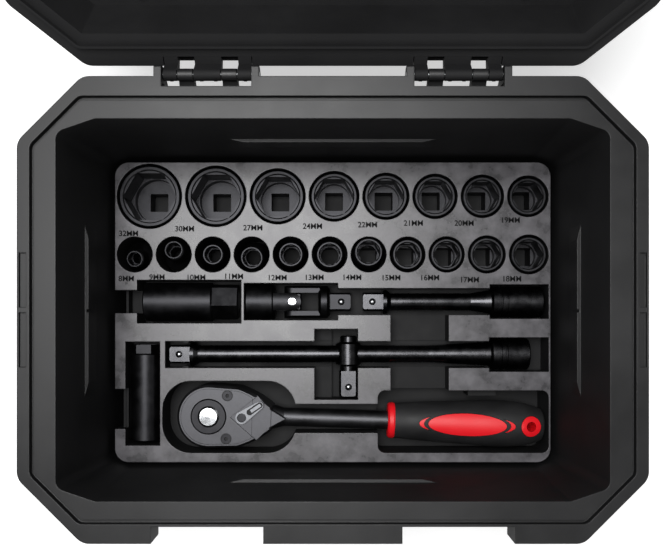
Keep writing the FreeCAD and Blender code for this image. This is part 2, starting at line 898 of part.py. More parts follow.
def case_lid_closed():
    top_outline = rim_outline.grown(-lid_shoulder_inset)
    mouth = groove_outline.grown(-groove_width - lid_ledge)
    edge_top = lid_low + lid_edge_height
    edge = rim_outline.solid(lid_low, edge_top)
    crown = loft(rim_outline, edge_top, top_outline, lid_top)
    tongue_outline = groove_outline.grown(-tongue_clearance)
    tongue_height = groove_depth - tongue_clearance - rim_gap
    tongue = ring(tongue_outline, groove_width - 2 * tongue_clearance, lid_low - tongue_height,
                  lid_low + overlap)
    solid = fuse([edge, crown])
    inner = loft(mouth, lid_low, mouth.grown(-lid_draft_inset), lid_top - lid_top_thickness)
    solid = solid.cut(inner)
    for centre in latch_centres():
        solid = solid.cut(latch_recess(centre, lid_low - overlap, lid_top + overlap))
    for centre in hinge_centres():
        solid = solid.cut(hinge_notch(centre, lid_low - overlap, lid_low + lid_edge_height))
    half_x, back, front = handle_box()
    recess_floor = lid_top - handle_thickness - handle_gap
    well = box(-half_x - handle_recess_floor, half_x + handle_recess_floor, front - handle_recess_floor,
               back + handle_recess_floor, recess_floor - handle_recess_floor,
               lid_top - lid_top_thickness / 2)
    recess = box(-half_x, half_x, front, back, recess_floor, lid_top + overlap)
    panel_outline = rim_outline.grown(-lid_panel_inset)
    panel_groove = ring(panel_outline, lid_panel_groove, lid_top - lid_panel_depth, lid_top + overlap)
    strips = [box(-lid_strip_half_length, lid_strip_half_length, y - lid_strip_width / 2,
                  y + lid_strip_width / 2, lid_top - lid_panel_depth, lid_top + lid_strip_height)
              for y in lid_strip_places]
    solid = fuse([solid, well, tongue] + strips).cut(recess).cut(panel_groove)
    peg_x = mouth.width / 2 - lid_draft_inset - rim_corner_cut - peg_inset_x
    peg_y = mouth.depth / 2 - lid_draft_inset - peg_inset_y
    peg_low = lid_top - lid_top_thickness - peg_height
    pegs = [rod(peg_radius, Vector(side * peg_x, peg_y, peg_low), Z_AXIS, peg_height + overlap)
            for side in (-1, 1)]
    solid = fuse([solid] + pegs)
    pivot_y, pivot_z = latch_pivot()
    for centre in latch_centres():
        half = latch_recess_width / 2 + latch_pin_bite
        bore = rod(latch_pin_radius + hinge_pin_clearance, Vector(centre - half, pivot_y, pivot_z),
                   X_AXIS, 2 * half)
        solid = solid.cut(bore)
    for centre in hinge_centres():
        solid = fuse([solid] + lid_hinge_parts(centre))
        solid = solid.cut(hinge_bore(centre, hinge_pin_radius + hinge_pin_clearance))
    for start in handle_pin_starts():
        solid = solid.cut(rod(handle_pin_radius + hinge_pin_clearance, start, X_AXIS,
                              handle_pin_length()))
    return solid


def latch_pivot():
    """Place of the latch pins in the closed lid."""
    return -rim_depth / 2 + latch_pivot_inset, lid_low + latch_pivot_rise


def latch_closed(centre):
    """A latch plate with its pivot boss, its hook and a few grip ribs."""
    pivot_y, pivot_z = latch_pivot()
    half = latch_recess_width / 2 - latch_side_gap
    outer = pivot_y - latch_boss_radius
    inner = outer + latch_plate_thickness
    low = pivot_z - latch_length
    hook_top = low + latch_hook_height
    boss = rod(latch_boss_radius, Vector(centre - half, pivot_y, pivot_z), X_AXIS, 2 * half)
    profile = [(outer, pivot_z), (outer, low + 2.0), (outer + overlap, low), (inner, low),
               (inner + latch_hook_reach, hook_top - 1.2), (inner + latch_hook_reach, hook_top),
               (inner, hook_top), (inner, pivot_z)]
    solid = fuse([boss, side_plate(profile, centre - half, centre + half)])
    for index in range(latch_rib_count):
        z = low + latch_rib_start + index * 2 * latch_rib_width
        groove = box(centre - half + latch_rib_margin, centre + half - latch_rib_margin, outer - overlap,
                     outer + latch_rib_height, z,
                     z + latch_rib_width)
        solid = solid.cut(groove)
    bore = rod(latch_pin_radius + hinge_pin_clearance, Vector(centre - half, pivot_y, pivot_z), X_AXIS,
               2 * half)
    return solid.cut(bore)


def latch_pins_closed():
    pivot_y, pivot_z = latch_pivot()
    half = latch_recess_width / 2 + latch_pin_bite - hinge_pin_clearance
    pins = [rod(latch_pin_radius, Vector(centre - half, pivot_y, pivot_z), X_AXIS, 2 * half)
            for centre in latch_centres()]
    return Part.makeCompound(pins)


def handle_pin_length():
    return handle_arm_width + handle_gap + handle_recess_floor - 0.4


def handle_pin_starts():
    """Start of each handle pin, at the inner face of its arm."""
    pivot_y, pivot_z = handle_pivot()
    inner = handle_length / 2 - handle_arm_width
    return (Vector(inner, pivot_y, pivot_z), Vector(-inner - handle_pin_length(), pivot_y, pivot_z))


def handle_hung(shape):
    """A shape of the folded handle, swung out to where it hangs when the lid is open."""
    pivot_y, pivot_z = handle_pivot()
    return shape.rotated(Vector(0, pivot_y, pivot_z), X_AXIS, lid_open_angle - 90)


def carry_handle_closed():
    """A flat bail: two arms and a rounded grip bar."""
    pivot_y, pivot_z = handle_pivot()
    half = handle_length / 2
    low = lid_top - handle_thickness
    bar_edge_y = handle_reach / 2 + handle_grip_width / 2
    root = pivot_y - handle_corner
    bail = rounded_wire([(half, root), (half, bar_edge_y), (-half, bar_edge_y), (-half, root)],
                        handle_corner, low)
    window = box(-half + handle_arm_width, half - handle_arm_width, root - overlap,
                 bar_edge_y - handle_grip_width, low - overlap, lid_top + overlap)
    solid = plate(bail, handle_thickness).cut(window)
    solid = solid.cut(box(-half - overlap, half + overlap, root - overlap, pivot_y, low - overlap,
                          lid_top + overlap))
    eyes = [rod(handle_thickness / 2, Vector(start, pivot_y, pivot_z), X_AXIS, handle_arm_width)
            for start in (half - handle_arm_width, -half)]
    grip_edges = [edge for edge in solid.Edges if abs(edge.BoundBox.YMin - bar_edge_y) < 1e-6
                  and edge.BoundBox.YLength < 1e-6 and edge.BoundBox.XLength > half]
    solid = solid.makeFillet(handle_corner, grip_edges)
    solid = fuse([solid] + eyes)
    for start in handle_pin_starts():
        solid = solid.cut(rod(handle_pin_radius + hinge_pin_clearance, start, X_AXIS,
                              handle_pin_length()))
    return solid


def handle_pins_closed():
    pins = [rod(handle_pin_radius, start, X_AXIS, handle_pin_length()) for start in handle_pin_starts()]
    return Part.makeCompound(pins)


def socket_length(size):
    """Sockets up to the short limit share one length, then they grow to the longest."""
    share = (size - socket_short_limit) / (socket_long_limit - socket_short_limit)
    return socket_short + (socket_long - socket_short) * min(max(share, 0.0), 1.0)


def well_places():
    """Size and centre of every socket well, each row filling the tray from side to side."""
    places = {}
    for sizes, y in ((row_one_sizes, row_one_y), (row_two_sizes, row_two_y)):
        total = sum(2 * well_radius(size) for size in sizes)
        web = (tray_width - 2 * tray_edge_margin - total) / (len(sizes) - 1)
        x = -tray_width / 2 + tray_edge_margin
        for size in sizes:
            places[size] = (x + well_radius(size), y + tray_shift_y)
            x += 2 * well_radius(size) + web
    return places


def socket(size):
    """A six-point socket standing on its square drive end."""
    length = socket_length(size)
    nose = socket_diameter(size) / 2
    foot = max(nose, socket_drive_diameter / 2)
    ring_low = socket_ring_height - socket_ring_width / 2
    ring_high = socket_ring_height + socket_ring_width / 2
    profile = [(0, 0), (foot - socket_edge, 0), (foot, socket_edge), (foot, ring_low),
               (foot - socket_ring_depth, ring_low + socket_ring_depth),
               (foot - socket_ring_depth, ring_high - socket_ring_depth), (foot, ring_high),
               (foot, socket_drive_height)]
    if foot > nose:
        profile.append((nose, socket_drive_height + socket_taper_height))
    profile += [(nose, length - socket_edge), (nose - socket_edge, length), (0, length)]
    flats = size + hex_play
    corner = flats / math.sqrt(3)
    hex_depth = hex_depth_base + hex_depth_slope * size
    mouth = Part.makeCone(corner - hex_lead, corner + 0.2, hex_lead + 0.2,
                          Vector(0, 0, length - hex_lead))
    bore = Part.makeCylinder(flats / 2 - 0.3, length)
    hexagon = hex_prism(flats, length - hex_depth, length + overlap)
    drive = square_prism(drive_square + drive_hole_play, drive_hole_chamfer, -overlap, drive_hole_depth)
    above_drive = box(-foot, foot, -foot, foot, drive_hole_depth - overlap, length)
    solid = revolve(profile).cut(fuse([hexagon, bore.common(above_drive), drive])).cut(mouth)
    x, y = well_places()[size]
    lean = socket_lean.get(size, 0.0)
    solid = solid.rotated(Vector(0, 0, socket_drive_height / 2), X_AXIS, lean)
    return solid.translated(Vector(x, y, well_floor(size) + seat_gap - solid.BoundBox.ZMin))


def well_floor(size):
    """Height of a well's floor, so that its socket stands a little below the deck."""
    return tray_top - socket_sink - socket_length(size) - seat_gap


def plug_socket(size, length, diameter, hex_length, hex_flats):
    """A long plug socket along Z: plug end below, hexagon and square drive end above."""
    radius = diameter / 2
    body = revolve([(0, 0), (radius - socket_edge, 0), (radius, socket_edge),
                    (radius, length - hex_length - overlap),
                    (radius - 1.0, length - hex_length), (0, length - hex_length)])
    nut = hex_prism(hex_flats, length - hex_length - overlap, length)
    flats = size + hex_play
    depth = plug_hex_depth_share * length
    plug_hex = hex_prism(flats, -overlap, depth)
    relief = Part.makeCylinder(flats / 2 - plug_grip_thickness / 2, length - drive_hole_depth)
    drive = square_prism(drive_square + drive_hole_play, drive_hole_chamfer, length - drive_hole_depth,
                         length + overlap)
    return fuse([body, nut]).cut(fuse([plug_hex, relief, drive]))


def plug_grip(size):
    """The rubber sleeve inside a plug socket that holds the spark plug."""
    flats = size + hex_play
    outer = hex_prism(flats - 2 * pad_gap, plug_grip_inset, plug_grip_inset + plug_grip_length)
    return outer.cut(Part.makeCylinder(flats / 2 - plug_grip_thickness, socket_long))


def plug_wide_placed(shape):
    turned = shape.rotated(Vector(0, 0, 0), Z_AXIS, plug_wide_roll)
    z = tray_top - plug_wide_drop()
    return laid_along_x(turned, plug_wide_start_x, row_three_y + tray_shift_y, z)


def plug_wide_drop():
    """Depth of the wide plug socket's axis below the tray's deck."""
    return plug_wide_diameter / 2 - socket_sink


def plug_narrow_drop():
    return plug_narrow_diameter / 2


def plug_narrow_placed(shape):
    z = tray_top - plug_narrow_drop()
    y = plug_narrow_y - plug_narrow_length / 2 + tray_shift_y
    return shape.rotated(Vector(0, 0, 0), X_AXIS, -90).translated(Vector(plug_narrow_x, y, z))


def detent_ball(centre, outward):
    """A spring ball that stands a little proud of a face."""
    return Part.makeSphere(detent_ball_radius, centre - outward * (detent_ball_radius - detent_ball_proud))


def ball_seat(centre, outward):
    """The blind hole that a detent ball sits in."""
    deep = 2 * detent_ball_radius
    return rod(detent_ball_radius + detent_play, centre - outward * deep, outward, deep + overlap)


def ball_spot(end_x, y, z):
    """Middle of the upper face of a square drive that starts at its left end."""
    return Vector(end_x + drive_length * (1 - drive_ball_share), y, z + drive_square / 2)


def bar(length, taper, socket_end):
    """An extension bar from its square drive at the origin, along Z, to its socket end."""
    step = length - socket_end
    groove = step + bar_groove_start
    profile = [(0, drive_length - 0.5), (bar_shoulder_radius, drive_length - 0.5),
               (bar_shoulder_radius, drive_length + 2.0), (bar_radius, drive_length + bar_shoulder),
               (bar_radius, step - taper), (bar_taper_radius, step),
               (bar_socket_radius, step + bar_step)]
    for middle in (groove, groove + bar_groove_pitch):
        profile += [(bar_socket_radius, middle), (bar_socket_radius - bar_groove_depth,
                                                  middle + bar_groove_slope),
                    (bar_socket_radius - bar_groove_depth, middle + bar_groove_width - bar_groove_slope),
                    (bar_socket_radius, middle + bar_groove_width)]
    profile += [(bar_socket_radius, length - bar_edge), (bar_socket_radius - bar_edge, length),
                (0, length)]
    square = square_prism(drive_square, drive_chamfer, 0, drive_length)
    tip = Part.makeCone(drive_square * drive_tip_share, drive_square * drive_tip_share + drive_length,
                        drive_length)
    drive = square_prism(drive_square + drive_hole_play, drive_hole_chamfer, length - drive_hole_depth,
                         length + overlap)
    return fuse([square.common(tip), revolve(profile)]).cut(drive)


def bar_placed(solid, start_x, row_y):
    """An extension bar laid in its row of the tray."""
    z = tray_top - bar_axis_drop
    laid = laid_along_x(solid, start_x, row_y + tray_shift_y, z)
    return laid.cut(ball_seat(ball_spot(start_x, row_y + tray_shift_y, z), Z_AXIS))


def bar_ball(start_x, row_y):
    z = tray_top - bar_axis_drop
    return detent_ball(ball_spot(start_x, row_y + tray_shift_y, z), Z_AXIS)


def t_head_axis():
    return Vector(t_head_x, row_four_y + tray_shift_y, tray_top - bar_axis_drop)


def t_head():
    """The sliding head on the long bar: a barrel with a boss round the bar and a square drive."""
    half = t_head_length / 2
    boss = t_head_boss_length / 2
    slope = t_head_boss_radius - t_head_radius
    profile = [(0, -half), (t_head_radius - bar_edge, -half), (t_head_radius, -half + bar_edge),
               (t_head_radius, -boss - slope / 2), (t_head_boss_radius, -boss),
               (t_head_boss_radius, boss),
               (t_head_radius, boss + slope / 2), (t_head_radius, half - bar_edge),
               (t_head_radius - bar_edge, half), (0, half)]
    square = square_prism(drive_square, drive_chamfer, half - overlap, half + 2.0 + drive_length)
    neck = Part.makeCone(drive_square * drive_tip_share + drive_length, drive_square * drive_tip_share,
                         drive_length + 3.0,
                         Vector(0, 0, half - overlap))
    solid = fuse([revolve(profile), square.common(neck)])
    solid = solid.rotated(Vector(0, 0, 0), X_AXIS, 90).translated(t_head_axis())
    reach = 2 * t_head_boss_radius
    bore = rod(bar_radius + t_head_bar_play, t_head_axis() - X_AXIS * reach, X_AXIS, 2 * reach)
    return solid.cut(bore).cut(ball_seat(t_ball_spot(), Z_AXIS))


def t_ball_spot():
    forward = t_head_length / 2 + 2.0 + drive_length * drive_ball_share
    return t_head_axis() + Vector(0, -forward, drive_square / 2)


def joint_axis():
    """Centre of the universal joint's cross."""
    return Vector(joint_pin_x, row_three_y + tray_shift_y, tray_top - joint_drop())


def joint_drop():
    """Depth of the universal joint's axis below the tray's deck."""
    return joint_diameter / 2 + seat_gap


def ear_room(half_x_low, half_x_high):
    """The slot between a yoke's two ears, in the joint's own frame with the ears above and below."""
    half = joint_block / 2 + joint_ear_gap
    wide = joint_diameter
    return box(half_x_low, half_x_high, -wide, wide, -half, half)


def yoke_ears(diameter, reach):
    """Two ears above and below the cross, rounded about the pin, that reach back along minus X."""
    half_width = joint_ear_width / 2
    strip = box(-reach, 0, -half_width, half_width, -diameter, diameter)
    strip = fuse([strip, rod(half_width, Vector(0, 0, -diameter), Z_AXIS, 2 * diameter)])
    barrel = rod(diameter / 2, Vector(-reach, 0, 0), X_AXIS, reach + half_width)
    return strip.common(barrel).cut(ear_room(-reach - overlap, diameter))


def joint_placed(shape):
    return shape.translated(joint_axis())


def joint_socket_yoke():
    """Yoke with a square socket at its left end."""
    start = joint_start_x - joint_pin_x
    fork = start + joint_socket_length
    edge = socket_edge
    radius = joint_diameter / 2
    hub = revolve([(0, 0), (radius - edge, 0), (radius, edge), (radius, joint_socket_length - 2.0),
                   (radius - 2.0, joint_socket_length), (0, joint_socket_length)])
    hub = laid_along_x(hub, start, 0, 0)
    drive = laid_along_x(square_prism(drive_square + drive_hole_play, drive_hole_chamfer, -overlap,
                                      drive_hole_depth), start, 0, 0)
    solid = fuse([hub, yoke_ears(joint_diameter, -fork + overlap)]).cut(drive)
    bore = rod(joint_pin_radius + joint_pin_play, Vector(0, 0, -radius - overlap), Z_AXIS,
               2 * radius + 2.0)
    return joint_placed(solid.cut(bore))


def joint_cross():
    """The block between the two yokes, bored both ways."""
    half = joint_block / 2
    block = box(-half, half, -half, half, -half, half)
    block = block.makeChamfer(0.8, block.Edges)
    long_bore = rod(joint_pin_radius + joint_pin_play, Vector(0, 0, -half), Z_AXIS, joint_block)
    short_bore = rod(joint_pin_radius + joint_pin_play, Vector(0, -half, 0), Y_AXIS, joint_block)
    return joint_placed(block.cut(long_bore).cut(short_bore))


def joint_long_pin():
    """The pin through the socket yoke's ears, domed flush with them."""
    radius = joint_diameter / 2
    pin = rod(joint_pin_radius, Vector(0, 0, -radius), Z_AXIS, 2 * radius)
    return joint_placed(pin.common(rod(radius + 0.1, Vector(-radius, 0, 0), X_AXIS, 2 * radius)))


def joint_short_pins():
    """Two stub pins in the drive yoke's ears that stop at the long pin."""
    radius = joint_drive_diameter / 2
    inner = joint_pin_radius + joint_ear_gap
    pins = [rod(joint_pin_radius, Vector(0, inner, 0), Y_AXIS, radius - inner),
            rod(joint_pin_radius, Vector(0, -radius, 0), Y_AXIS, radius - inner)]
    limit = rod(radius, Vector(-radius, 0, 0), X_AXIS, 2 * radius)
    return joint_placed(Part.makeCompound([pin.common(limit) for pin in pins]))


def joint_drive_yoke():
    """Yoke with a square drive at its right end, its ears at front and back."""
    radius = joint_drive_diameter / 2
    fork = joint_ear_width / 2 + joint_fork_room
    hub = revolve([(0, 0), (radius - 2.0, 0), (radius, 2.0), (radius, joint_drive_hub - 2.0),
                   (radius - 2.0, joint_drive_hub), (0, joint_drive_hub)])
    hub = laid_along_x(hub, fork, 0, 0)
    ears = yoke_ears(joint_drive_diameter, fork + overlap)
    ears = ears.rotated(Vector(0, 0, 0), Z_AXIS, 180).rotated(Vector(0, 0, 0), X_AXIS, 90)
    start = fork + joint_drive_hub
    square = square_prism(drive_square, drive_chamfer, -overlap, drive_length)
    tip = Part.makeCone(drive_square * drive_tip_share + drive_length, drive_square * drive_tip_share,
                        drive_length + overlap, Vector(0, 0, -overlap))
    square = laid_along_x(square.common(tip), start, 0, 0)
    solid = fuse([hub, ears, square])
    bore = rod(joint_pin_radius + joint_pin_play, Vector(0, -radius - overlap, 0), Y_AXIS,
               2 * radius + 2.0)
    return joint_placed(solid.cut(bore)).cut(ball_seat(joint_ball_spot(), Z_AXIS))


def joint_ball_spot():
    start = joint_ear_width / 2 + joint_fork_room + joint_drive_hub
    return joint_axis() + Vector(start + drive_length * drive_ball_share, 0, drive_square / 2)


def ratchet_placed(shape):
    """A ratchet piece moved from its own frame into its pocket."""
    turned = shape.rotated(Vector(0, 0, 0), Z_AXIS, ratchet_turn)
    return turned.translated(Vector(ratchet_x, ratchet_y + tray_shift_y, tray_top - ratchet_axis_drop))


def head_wire(inset, z):
    """The pear outline of the ratchet's head, moved inwards by an even inset."""
    top = [Vector(0, head_radius - inset, z), Vector(head_flat_x, head_flat_half - inset, z),
           Vector(head_mid_x - inset * 0.6, head_mid_half - inset * 0.8, z),
           Vector(head_neck_x - inset, head_neck_half - inset * 0.5, z)]
    mirrored = [Vector(point.x, -point.y, z) for point in top]
    edges = [Part.Arc(mirrored[0], Vector(-head_radius + inset, 0, z), top[0]).toShape(),
             Part.LineSegment(top[0], top[1]).toShape(),
             Part.Arc(top[1], top[2], top[3]).toShape(),
             Part.LineSegment(top[3], mirrored[3]).toShape(),
             Part.Arc(mirrored[3], mirrored[2], mirrored[1]).toShape(),
             Part.LineSegment(mirrored[1], mirrored[0]).toShape()]
    return Part.Wire(edges)


def head_solid():
    """Head with a broken edge above and below."""
    low = -head_half_height
    high = head_half_height
    core = plate(head_wire(0, low + head_edge), high - low - 2 * head_edge)
    upper = Part.makeLoft([head_wire(0, high - head_edge), head_wire(head_edge, high)], True, True)
    lower = Part.makeLoft([head_wire(head_edge, low), head_wire(0, low + head_edge)], True, True)
    return fuse([core, upper, lower])


def notch_wedge(z_low, z_high):
    """The V in which the reverse lever swings."""
    reach = cover_notch_reach
    angle = math.radians(cover_notch_half_angle)
    start = cover_notch_apex_x
    corners = [(start, 0), (start + reach * math.cos(angle), -reach * math.sin(angle)),
               (start + reach * cover_notch_tip_share, 0),
               (start + reach * math.cos(angle), reach * math.sin(angle))]
    wedge = polygon_plate(corners, z_low, z_high)
    pivot = rod(lever_disc_radius + pad_gap, Vector(pawl_pivot_x, 0, z_low), Z_AXIS, z_high - z_low)
    return fuse([wedge, pivot])


def screw_places():
    return ((cover_screw_x, cover_screw_y), (cover_screw_x, -cover_screw_y))


def cover_floor():
    """Height of the recess that the cover plate lies in."""
    return head_half_height - cover_thickness - cover_gap


def pawl_cavity(z_low, z_high):
    half = pawl_half_width + pawl_room_side
    return box(gear_radius - pawl_room_front, pawl_pivot_x + pawl_hub_radius + pawl_room_back, -half,
               half, z_low, z_high)


def ratchet_body():
    """Head, neck and shank in one forging, hollowed for the gear and the pawl."""
    shank = revolve([(0, 0), (shank_radius, 0), (shank_radius, shank_end_x - head_neck_x + shank_sink),
                     (tang_radius, shank_end_x - head_neck_x + shank_sink),
                     (tang_radius, tang_end_x - head_neck_x),
                     (0, tang_end_x - head_neck_x)])
    shank = laid_along_x(shank, head_neck_x - shank_sink, 0, 0)
    neck = Part.makeCone(neck_start_radius, shank_radius, neck_length,
                         Vector(head_neck_x - neck_sink, 0, 0), X_AXIS)
    neck = neck.common(box(0, tang_end_x, -head_neck_half, head_neck_half, -head_half_height,
                           head_half_height))
    solid = fuse([head_solid(), neck, shank])
    gear_room = rod(gear_radius + spindle_play, Vector(0, 0, -gear_half_height - spindle_play), Z_AXIS,
                    cover_floor() + gear_half_height + spindle_play + overlap)
    spindle_room = rod(spindle_radius + spindle_play, Vector(0, 0, -head_half_height - overlap), Z_AXIS,
                       head_half_height)
    pawl_room = pawl_cavity(-pawl_half_height - spindle_play, cover_floor() + overlap)
    cover_room = cover_outline(0.0, cover_floor(), head_half_height + overlap)
    lever_room = notch_wedge(cover_floor(), head_half_height + overlap)
    lever_room = lever_room.common(box(0, head_neck_x, -head_radius, head_radius, cover_floor(),
                                       head_half_height + overlap))
    detent_room = rod(detent_radius + detent_gap, Vector(pawl_pivot_x, 0, 0), X_AXIS,
                      pawl_hub_radius + 2 * detent_radius + detent_spring_length + overlap)
    for room in (gear_room, spindle_room, pawl_room, cover_room, lever_room, detent_room):
        solid = solid.cut(room)
    for x, y in screw_places():
        start = Vector(x, y, cover_floor() - cover_screw_length + cover_thickness)
        solid = solid.cut(rod(cover_screw_radius + screw_play, start, Z_AXIS, cover_screw_length))
    return solid


def cover_outline(shrink, z_low, z_high):
    """Outline of the cover plate: the head's outline moved in, ending at a straight right edge."""
    solid = plate(head_wire(cover_inset + shrink, z_low), z_high - z_low)
    limit = cover_right_x - shrink
    return solid.common(box(-head_radius, limit, -head_radius, head_radius, z_low, z_high))


def ratchet_cover():
    """Cover plate with holes for the spindle and screws, and the V notch for the lever."""
    low = cover_floor() + cover_gap / 2
    high = low + cover_thickness
    solid = cover_outline(cover_gap, low, high)
    solid = solid.cut(rod(spindle_radius + spindle_play, Vector(0, 0, low), Z_AXIS, cover_thickness))
    solid = solid.cut(notch_wedge(low + lever_step, high + overlap))
    shaft = rod(lever_shaft_radius + pawl_bore_play, Vector(pawl_pivot_x, 0, low), Z_AXIS,
                cover_thickness)
    solid = solid.cut(shaft)
    for x, y in screw_places():
        solid = solid.cut(rod(cover_screw_radius + screw_play, Vector(x, y, low), Z_AXIS,
                              cover_thickness))
        sunk = Vector(x, y, high - cover_screw_head_height)
        solid = solid.cut(rod(cover_screw_head_radius + screw_play, sunk, Z_AXIS, cover_thickness))
    return solid


def cover_screws():
    """Two socket-head screws, flush with the cover."""
    high = cover_floor() + cover_gap / 2 + cover_thickness
    screws = []
    for x, y in screw_places():
        seat = high - cover_screw_head_height + screw_play / 2
        head = rod(cover_screw_head_radius, Vector(x, y, seat), Z_AXIS, cover_screw_head_height)
        stem_length = cover_screw_length - cover_screw_head_height - overlap
        stem = rod(cover_screw_radius, Vector(x, y, seat - stem_length), Z_AXIS, stem_length + 0.5)
        key = hex_prism(cover_screw_hex, seat + 0.4, high + overlap).translated(Vector(x, y, 0))
        screws.append(fuse([head, stem]).cut(key))
    return Part.makeCompound(screws)


def tip_angle():
    """Angle about the drive at which the engaged pawl tooth meets the gear."""
    tip = turned_about_pawl(pawl_tip_neutral(1), -pawl_swing / 2 * pawl_side())
    return math.degrees(math.atan2(tip.y, tip.x))


def pawl_side():
    """The pawl turns with the lever, so its tooth on the far side is engaged."""
    return -1.0


def pawl_tip_neutral(side):
    """A tooth tip of the pawl when it stands in the middle of its swing."""
    reach = gear_radius + pawl_tip_gap
    angle = math.radians(pawl_tip_angle)
    return Vector(reach * math.cos(angle), side * reach * math.sin(angle), 0)


def turned_about_pawl(point, angle):
    offset = point - Vector(pawl_pivot_x, 0, 0)
    turn = FreeCAD.Rotation(Z_AXIS, angle)
    return Vector(pawl_pivot_x, 0, 0) + turn.multVec(offset)


def drive_gear():
    """Toothed wheel with its spindle, and the square drive below."""
    root = gear_radius - gear_tooth_depth
    pitch = 360.0 / gear_teeth
    corners = []
    for index in range(gear_teeth):
        gap = math.radians(tip_angle() + index * pitch)
        crest = gap + math.radians(pitch / 2)
        corners.append((root * math.cos(gap), root * math.sin(gap)))
        corners.append((gear_radius * math.cos(crest), gear_radius * math.sin(crest)))
    wheel = polygon_plate(corners, -gear_half_height, gear_half_height)
    top = head_half_height + spindle_proud
    spindle = revolve([(0, -head_half_height), (spindle_radius, -head_half_height),
                       (spindle_radius, top - 0.6),
                       (spindle_radius - 0.6, top), (0, top)])
    square_top = -head_half_height
    square_end = square_top - gear_square_length
    square = square_prism(drive_square, drive_chamfer, square_end, square_top + overlap)
    tip = Part.makeCone(drive_square * drive_tip_share,
                        drive_square * drive_tip_share + gear_square_length + overlap,
                        gear_square_length + overlap, Vector(0, 0, square_end))
    solid = fuse([wheel, spindle, square.common(tip)])
    button_room = rod(button_radius + button_play, Vector(0, 0, button_floor()), Z_AXIS,
                      2 * head_half_height)
    stem_room = rod(button_stem_radius + button_play, Vector(0, 0, square_end + 1.5), Z_AXIS,
                    head_half_height * 3)
    return solid.cut(button_room).cut(stem_room).cut(ball_seat(ratchet_ball_spot(), Y_AXIS * -1))


def button_top():
    return head_half_height + spindle_proud + button_proud


def button_floor():
    """Floor of the button's bore, which carries the spring."""
    return button_top() - button_height - spring_height - 2 * spring_seat


def ratchet_ball_spot():
    return Vector(0, -drive_square / 2, -head_half_height - gear_square_length / 2)


def release_button():
    """Domed button on a long stem."""
    low = button_top() - button_height
    stem_end = button_top() - button_stem_length
    profile = [(0, stem_end), (button_stem_radius, stem_end), (button_stem_radius, low),
               (button_radius, low),
               (button_radius, button_top() - button_edge),
               (button_radius - button_edge, button_top() - button_dome), (0, button_top())]
    return revolve(profile)


def coil(radius, wire, turns, height):
    """A square-wire spring along Z that starts at the origin's height."""
    pitch = (height - wire) / turns
    path = Part.makeHelix(pitch, height - wire, radius)
    half = wire / 2
    corners = [Vector(radius + x, 0, z)
               for x, z in ((-half, -half), (half, -half), (half, half), (-half, half))]
    section = Part.makePolygon(corners + corners[:1])
    spring = Part.Wire(path.Edges).makePipeShell([section], True, True)
    return spring.translated(Vector(0, 0, wire / 2))


def button_spring():
    spring = coil(spring_radius, spring_wire, spring_turns, spring_height)
    return spring.translated(Vector(0, 0, button_floor() + spring_seat))


def pawl():
    """Rocking pawl with a tooth at each end, bored for the lever's shaft, resting on one tooth."""
    solids = []
    for side in (-1, 1):
        tip = pawl_tip_neutral(side)
        corners = [(tip.x, tip.y), (pawl_face_x, tip.y - side * pawl_tooth_half),
                   (pawl_face_x + 2.0, tip.y - side * pawl_tooth_half),
                   (pawl_face_x + 2.0, tip.y + side * pawl_tooth_half),
                   (pawl_face_x, tip.y + side * pawl_tooth_half)]
        solids.append(polygon_plate(corners, -pawl_half_height, pawl_half_height))
    half = pawl_half_width
    corners = [(pawl_face_x, -half), (pawl_pivot_x - 3.0, -half), (pawl_pivot_x, -pawl_hub_radius),
               (pawl_pivot_x, pawl_hub_radius), (pawl_pivot_x - 3.0, half), (pawl_face_x, half)]
    solids.append(polygon_plate(corners, -pawl_half_height, pawl_half_height))
    low = Vector(pawl_pivot_x, 0, -pawl_half_height)
    solids.append(rod(pawl_hub_radius, low, Z_AXIS, 2 * pawl_half_height))
    solid = fuse(solids).cut(rod(lever_shaft_radius + pawl_bore_play, low, Z_AXIS, 2 * pawl_half_height))
    return solid.rotated(Vector(pawl_pivot_x, 0, 0), Z_AXIS, -pawl_swing / 2 * pawl_side())


def detent_parts():
    """The ball behind the pawl and the spring that presses it."""
    ball_x = pawl_pivot_x + pawl_hub_radius + detent_gap + detent_radius
    ball = Part.makeSphere(detent_radius, Vector(ball_x, 0, 0))
    spring = coil(detent_radius - detent_spring_wire / 2, detent_spring_wire, detent_spring_turns,
                  detent_spring_length)
    spring_x = ball_x + detent_radius + detent_gap
    return ball, laid_along_x(spring, spring_x, 0, 0)


def reverse_lever():
    """Teardrop lever on a shaft that passes down through the pawl."""
    low = cover_floor() + cover_gap / 2 + lever_step + pad_gap
    high = low + lever_thickness
    spread = math.asin((lever_disc_radius - lever_tip_radius) / lever_length)
    normal = (math.sin(spread), math.cos(spread))
    corners = [(lever_disc_radius * normal[0], lever_disc_radius * normal[1]),
               (lever_disc_radius * normal[0], -lever_disc_radius * normal[1]),
               (lever_length + lever_tip_radius * normal[0], -lever_tip_radius * normal[1]),
               (lever_length + lever_tip_radius * normal[0], lever_tip_radius * normal[1])]
    arm = polygon_plate(corners, low, high)
    disc = rod(lever_disc_radius, Vector(0, 0, low), Z_AXIS, lever_thickness)
    tip = rod(lever_tip_radius, Vector(lever_length, 0, low), Z_AXIS, lever_thickness)
    ridge = box(lever_length + overlap - lever_grip_length, lever_length + overlap, -lever_grip_half,
                lever_grip_half,
                high - 0.5, high + lever_grip_height)
    shaft = rod(lever_shaft_radius, Vector(0, 0, -pawl_half_height), Z_AXIS, low + pawl_half_height + 0.5)
    solid = fuse([disc, arm, tip, ridge, shaft])
    return solid.rotated(Vector(0, 0, 0), Z_AXIS, lever_angle).translated(Vector(pawl_pivot_x, 0, 0))


